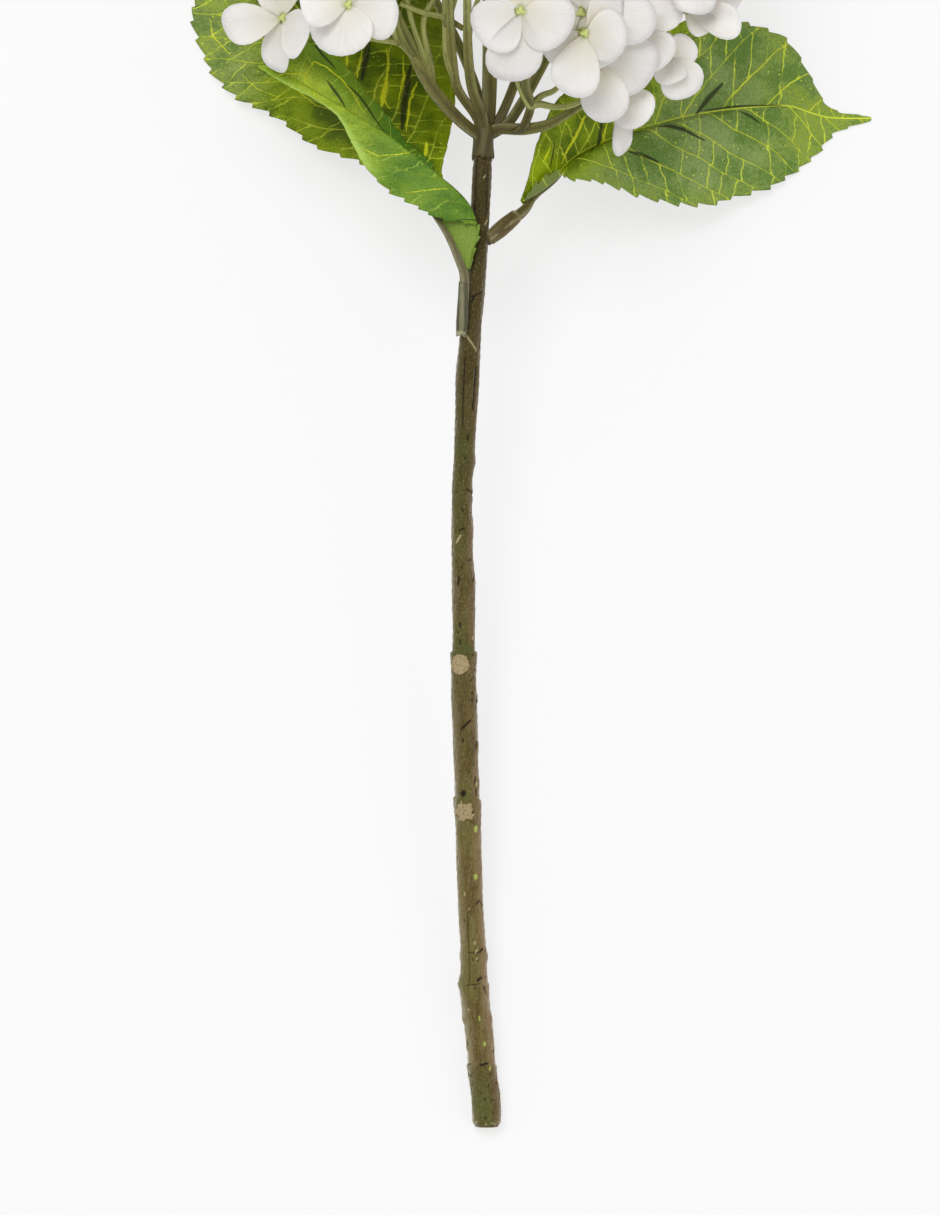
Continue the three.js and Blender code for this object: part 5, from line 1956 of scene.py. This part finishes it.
    def pedicel(self, place: Place, hubs: Array) -> Patch:
        """The thin stalk of a floret: from the nearest end of a ray to its cup, straight behind it.

        Args:
            place: Where the floret sits.
            hubs: The ends of the rays.

        Returns:
            The patch.
        """
        foot = self.foot(place)
        tip = foot - place.normal * self.pedicel_end
        hub = hubs[np.argmin(np.linalg.norm(hubs - tip, axis=1))]
        bend = tip - place.normal * self.pedicel_straight
        if place.tips:
            bend[2] = min(bend[2], foot[2])
        return stalk(np.array([hub, bend, tip]), list(self.pedicel_radii), (0.6, 1.0), 8, 14)

    def crown_rays(self) -> list[Array]:
        """The paths of the upper rays, which arch from the middle ray's fork out through the dome.

        Returns:
            One path for each.
        """
        fork = np.array([0.8, self.crown_fork, 0])
        ends = [np.array([0, self.crown_top, 0])]
        for k in range(self.crown_branches):
            angle = (k + 0.5) / self.crown_branches * 2 * math.pi
            reach = self.crown_reach
            ends.append(np.array([reach * math.cos(angle), self.crown_ring, reach * math.sin(angle)]))
        bend = np.array([0, self.crown_bend, 0])
        return [np.array([fork - bend, (fork + end) / 2 + bend, end]) for end in ends]

    def collar(self) -> Patch:
        """The sleeve at the stem's top: a lathe with shallow lobes and a ragged lower edge.

        Returns:
            The patch.
        """
        angle = round_once(self.collar_sides)
        levels = np.array(self.collar_levels)[:, None]
        reach = np.array(self.collar_radii)[:, None]
        ragged = 0.8 * np.sin(4 * angle + 0.5) * np.sin(7 * angle) + 0.35 * np.sin(11 * angle)
        torn = ragged * (1 - smooth_step(322.9, 325.5, levels))
        burrs = 0.35 * np.maximum(np.sin(9 * angle + 1), 0) ** 4 * (1 - smooth_step(323, 324.5, levels))
        reach = reach * (1 + 0.05 * np.sin(3 * angle + 0.3 * levels)) + burrs
        across = np.interp(levels, *self.collar_middle)
        rings = points_at(across + reach * np.cos(angle), levels + torn, reach * np.sin(angle))
        growth = np.broadcast_to(0 * levels, rings.shape[:2])
        hollow = np.broadcast_to(0.75 - 0.35 * np.cos(5 * angle + 0.3 * levels), rings.shape[:2])
        return column(rings, {"growth": growth, "groove": hollow})

    def make(self) -> None:
        """Makes every piece of the head."""
        outer, inner = self.places(), self.inner_places()
        everyone = [replace(place, index=index) for index, place in enumerate(outer + inner)]
        green = StalkFinish("flower_stalk", srgb(88, 80, 38), srgb(130, 128, 64), srgb(186, 190, 112))
        material = green.material()
        rays = [(FLOWER.seen(path), list(radii)) for path, radii in self.rays]
        crown = [(path, list(self.crown_radii)) for path in self.crown_rays()]
        hubs = np.array([path[-1] for path, _ in rays + crown])
        fluted = Flutes(3, 0.17, 0.3)
        stalks = [stalk(path, radii, (0.05, 0.8), 18, 28, fluted) for path, radii in rays]
        stalks += [stalk(path, radii, (0.5, 0.8), 10, 14) for path, radii in crown]
        for paths, radii, growth, steps in (
            (self.fork_stalks, [1.2, 1.0, 0.9], (0.85, 1.0), 16),
            (self.young_stalks, [0.8, 0.9, 1.05, 1.05], (1.1, 0.45), 22),
        ):
            stalks += [stalk(FLOWER.seen(path), radii, growth, 10, steps) for path in paths]
        make_piece("head_rays", stalks, material, Slot.FLOWER_STALK, ("head_branches",))
        make_piece("head_collar", [self.collar()], material, Slot.FLOWER_STALK)
        pedicels = [self.pedicel(place, hubs) for place in everyone]
        make_piece("pedicels", pedicels, material, Slot.FLOWER_STALK)
        cups = [self.calyx(place) for place in everyone]
        make_piece("calyxes", cups, material, Slot.FLOWER_STALK)

        petal_material = PetalFinish().material()
        split = len(outer)
        for name, some, solids in (
            ("petals", everyone[:split], ("florets",)),
            ("inner_petals", everyone[split:], ()),
        ):
            petals = [self.petal(place, petal) for place in some for petal in range(self.petals)]
            make_piece(name, petals, petal_material, Slot.PETAL, solids)
        beads = [self.centre_bead(place) for place in everyone]
        make_piece("floret_centres", beads, CentreFinish().material(), Slot.PETAL)


@dataclass(frozen=True)
class SoftLight:
    """A square soft light: where it hangs and the length of its side in metres, and its watts."""

    name: str
    place: tuple[float, float, float]
    size: float
    power: float
    aim: tuple[float, float, float] = (0.0, 0.05, 0.05)

    def make(self) -> None:
        """Hangs the light, turned to its aim."""
        data = bpy.data.lights.new(self.name, "AREA")
        data.size = self.size
        data.energy = self.power
        lamp = new_object(self.name, data)
        lamp.location = self.place
        away = np.array(self.place) - np.array(self.aim)
        flat = math.hypot(away[0], away[1])
        lamp.rotation_euler = (math.atan2(flat, away[2]), 0, math.atan2(away[0], -away[1]))


@dataclass
class Studio:
    """The pale table, the soft lights and the camera."""

    floor_size: float = 60.0
    floor: Colour = srgb(140, 140, 141)
    floor_glow: float = 0.69
    world: Colour = (1.0, 1.0, 1.0, 1.0)
    world_strength: float = 0.45
    lights: tuple[SoftLight, ...] = (
        SoftLight("key", (-0.6, 0.5, 3.0), 1.3, 46.0),
        SoftLight("fill", (1.9, -1.3, 2.8), 2.4, 20.0),
    )
    sensor_height: float = 36.0
    clip_end: float = 100.0

    def make(self) -> None:
        """Makes the table top, the world, the lights and the camera."""
        half = self.floor_size / 2
        mesh = bpy.data.meshes.new("table_top")
        corners = [(-half, -half, 0), (half, -half, 0), (half, half, 0), (-half, half, 0)]
        mesh.from_pydata(corners, [], [(0, 1, 2, 3)])
        board = Board("table_top")
        mesh.materials.append(board.finish(
            Base_Color=self.floor, Roughness=0.8, Emission_Color=self.world,
            Emission_Strength=self.floor_glow))
        new_object("table_top", mesh)

        world = bpy.data.worlds.new("studio")
        bpy.context.scene.world = world
        world.use_nodes = True
        background = world.node_tree.nodes["Background"]
        background.inputs["Color"].default_value = self.world
        background.inputs["Strength"].default_value = self.world_strength
        for light in self.lights:
            light.make()

        camera = bpy.data.cameras.new("camera")
        camera.sensor_fit = "VERTICAL"
        camera.sensor_height = self.sensor_height
        camera.lens = self.sensor_height * FLOWER.view_distance / FLOWER.view_height
        camera.clip_end = self.clip_end
        viewer = new_object("camera", camera)
        viewer.location = FLOWER.to_row(np.array([*FLOWER.view_centre, FLOWER.view_distance]))
        viewer.rotation_euler = (FLOWER.lean, 0, 0)
        bpy.context.scene.camera = viewer
        bpy.context.scene.view_settings.view_transform = "Standard"


def make_leaves() -> None:
    """Makes the three leaves, with the grey-green stalk of the front one and brown ones behind."""
    brown = StalkFinish("leaf_stalk", srgb(104, 94, 54), srgb(134, 130, 70), srgb(132, 146, 74))
    leaf_stalk = brown.material()
    Leaf(
        "right",
        RIGHT_LEAF,
        ((2.2, 297.3, 59.5), (7.7, 301.7, 57.4), (12.4, 305.4, 53.6)),
        1.85,
        LeafFinish("leaf_right", Veins(0.3)),
        streaks=RIGHT_STREAKS, bright=RIGHT_BRIGHT, neck=10.0, smooth_before=0.36,
        lit_from=40, lit_to=66, lit_skew=22,
    ).make(leaf_stalk)
    back_finish = LeafFinish(
        "leaf_left_back",
        Veins(0.62, 12.0, 0.9, 1.3, 0.002),
        pale=srgb(146, 162, 98), dark=srgb(106, 132, 58),
        # Its lime colours near the stem paint light shining through the blade
        lit=srgb(136, 158, 2), lit_dark=srgb(84, 108, 0), vein_share=0.78,
    )
    Leaf(
        "left_back",
        LEFT_BACK_LEAF,
        ((-5.4, 297.6, 56.4), (-8.2, 301.4, 50.8)),
        1.9,
        back_finish,
        streaks=LEFT_BACK_STREAKS, bright=LEFT_BACK_BRIGHT, smooth_before=0.5, lit_from=70, lit_to=90,
    ).make(leaf_stalk)
    front_finish = LeafFinish(
        "leaf_left_front",
        Veins(0.85, 17.0),
        # Its outer greens are painted lighter to make up for the florets' shadow; it also has painted
        # shade over its far half and a painted highlight along its curled lower margin.
        pale=srgb(190, 212, 62), dark=srgb(142, 174, 38),
        lit=srgb(112, 148, 42), lit_dark=srgb(72, 114, 28), vein=srgb(190, 216, 84),
        underside=srgb(142, 162, 70), curl_highlight=srgb(178, 212, 98),
        edge_share=0.4, curl_highlight_share=0.85, far_shade_share=0.6, vein_share=0.45,
    )
    grey = StalkFinish("leaf_stalk_grey", srgb(126, 120, 88), srgb(116, 110, 70), srgb(120, 132, 76))
    Leaf(
        "left_front",
        LEFT_FRONT_LEAF,
        ((-8.6, 266, 58), (-8.1, 275.7, 59.8), (-7.8, 284, 60.2)),
        1.65,
        front_finish,
        streaks=LEFT_FRONT_STREAKS, bright=LEFT_FRONT_BRIGHT, neck=28.0, root_depth=1.0,
        smooth_beyond=0.5, tooth_depth=1.5, lit_from=28, lit_to=51,
    ).make(grey.material())


def make_sleeves() -> None:
    """Makes the torn sleeves round the feet of the front leaf's and the right leaf's stalks."""
    grey = StalkFinish("sheath_grey", srgb(78, 76, 50), srgb(98, 96, 66), srgb(176, 170, 134))
    path = ((-8.7, 264.4, 58.0), (-8.2, 270, 59.2), (-8.0, 276, 60.0), (-7.9, 281, 60.2))
    Sheath("left_front", path, (1.9, 2.3, 2.2, 1.9, 1.75), grey).make()
    tan = StalkFinish("sheath_tan", srgb(98, 84, 44), srgb(124, 112, 68), srgb(166, 154, 108))
    path = ((9.6, 303.6, 56.1), (5.6, 300.2, 58.4), (2.4, 297.5, 59.6), (0.8, 296.2, 59.8))
    Sheath("right", path, (2.1, 2.4, 2.45, 2.1), tan, torn=0.6).make()


def main() -> None:
    """Builds the studio and the flower."""
    logging.basicConfig(level=logging.INFO, format="%(message)s")
    Studio().make()
    Stem().make()
    make_leaves()
    make_sleeves()
    Head().make()


if __name__ == "__main__":
    main()
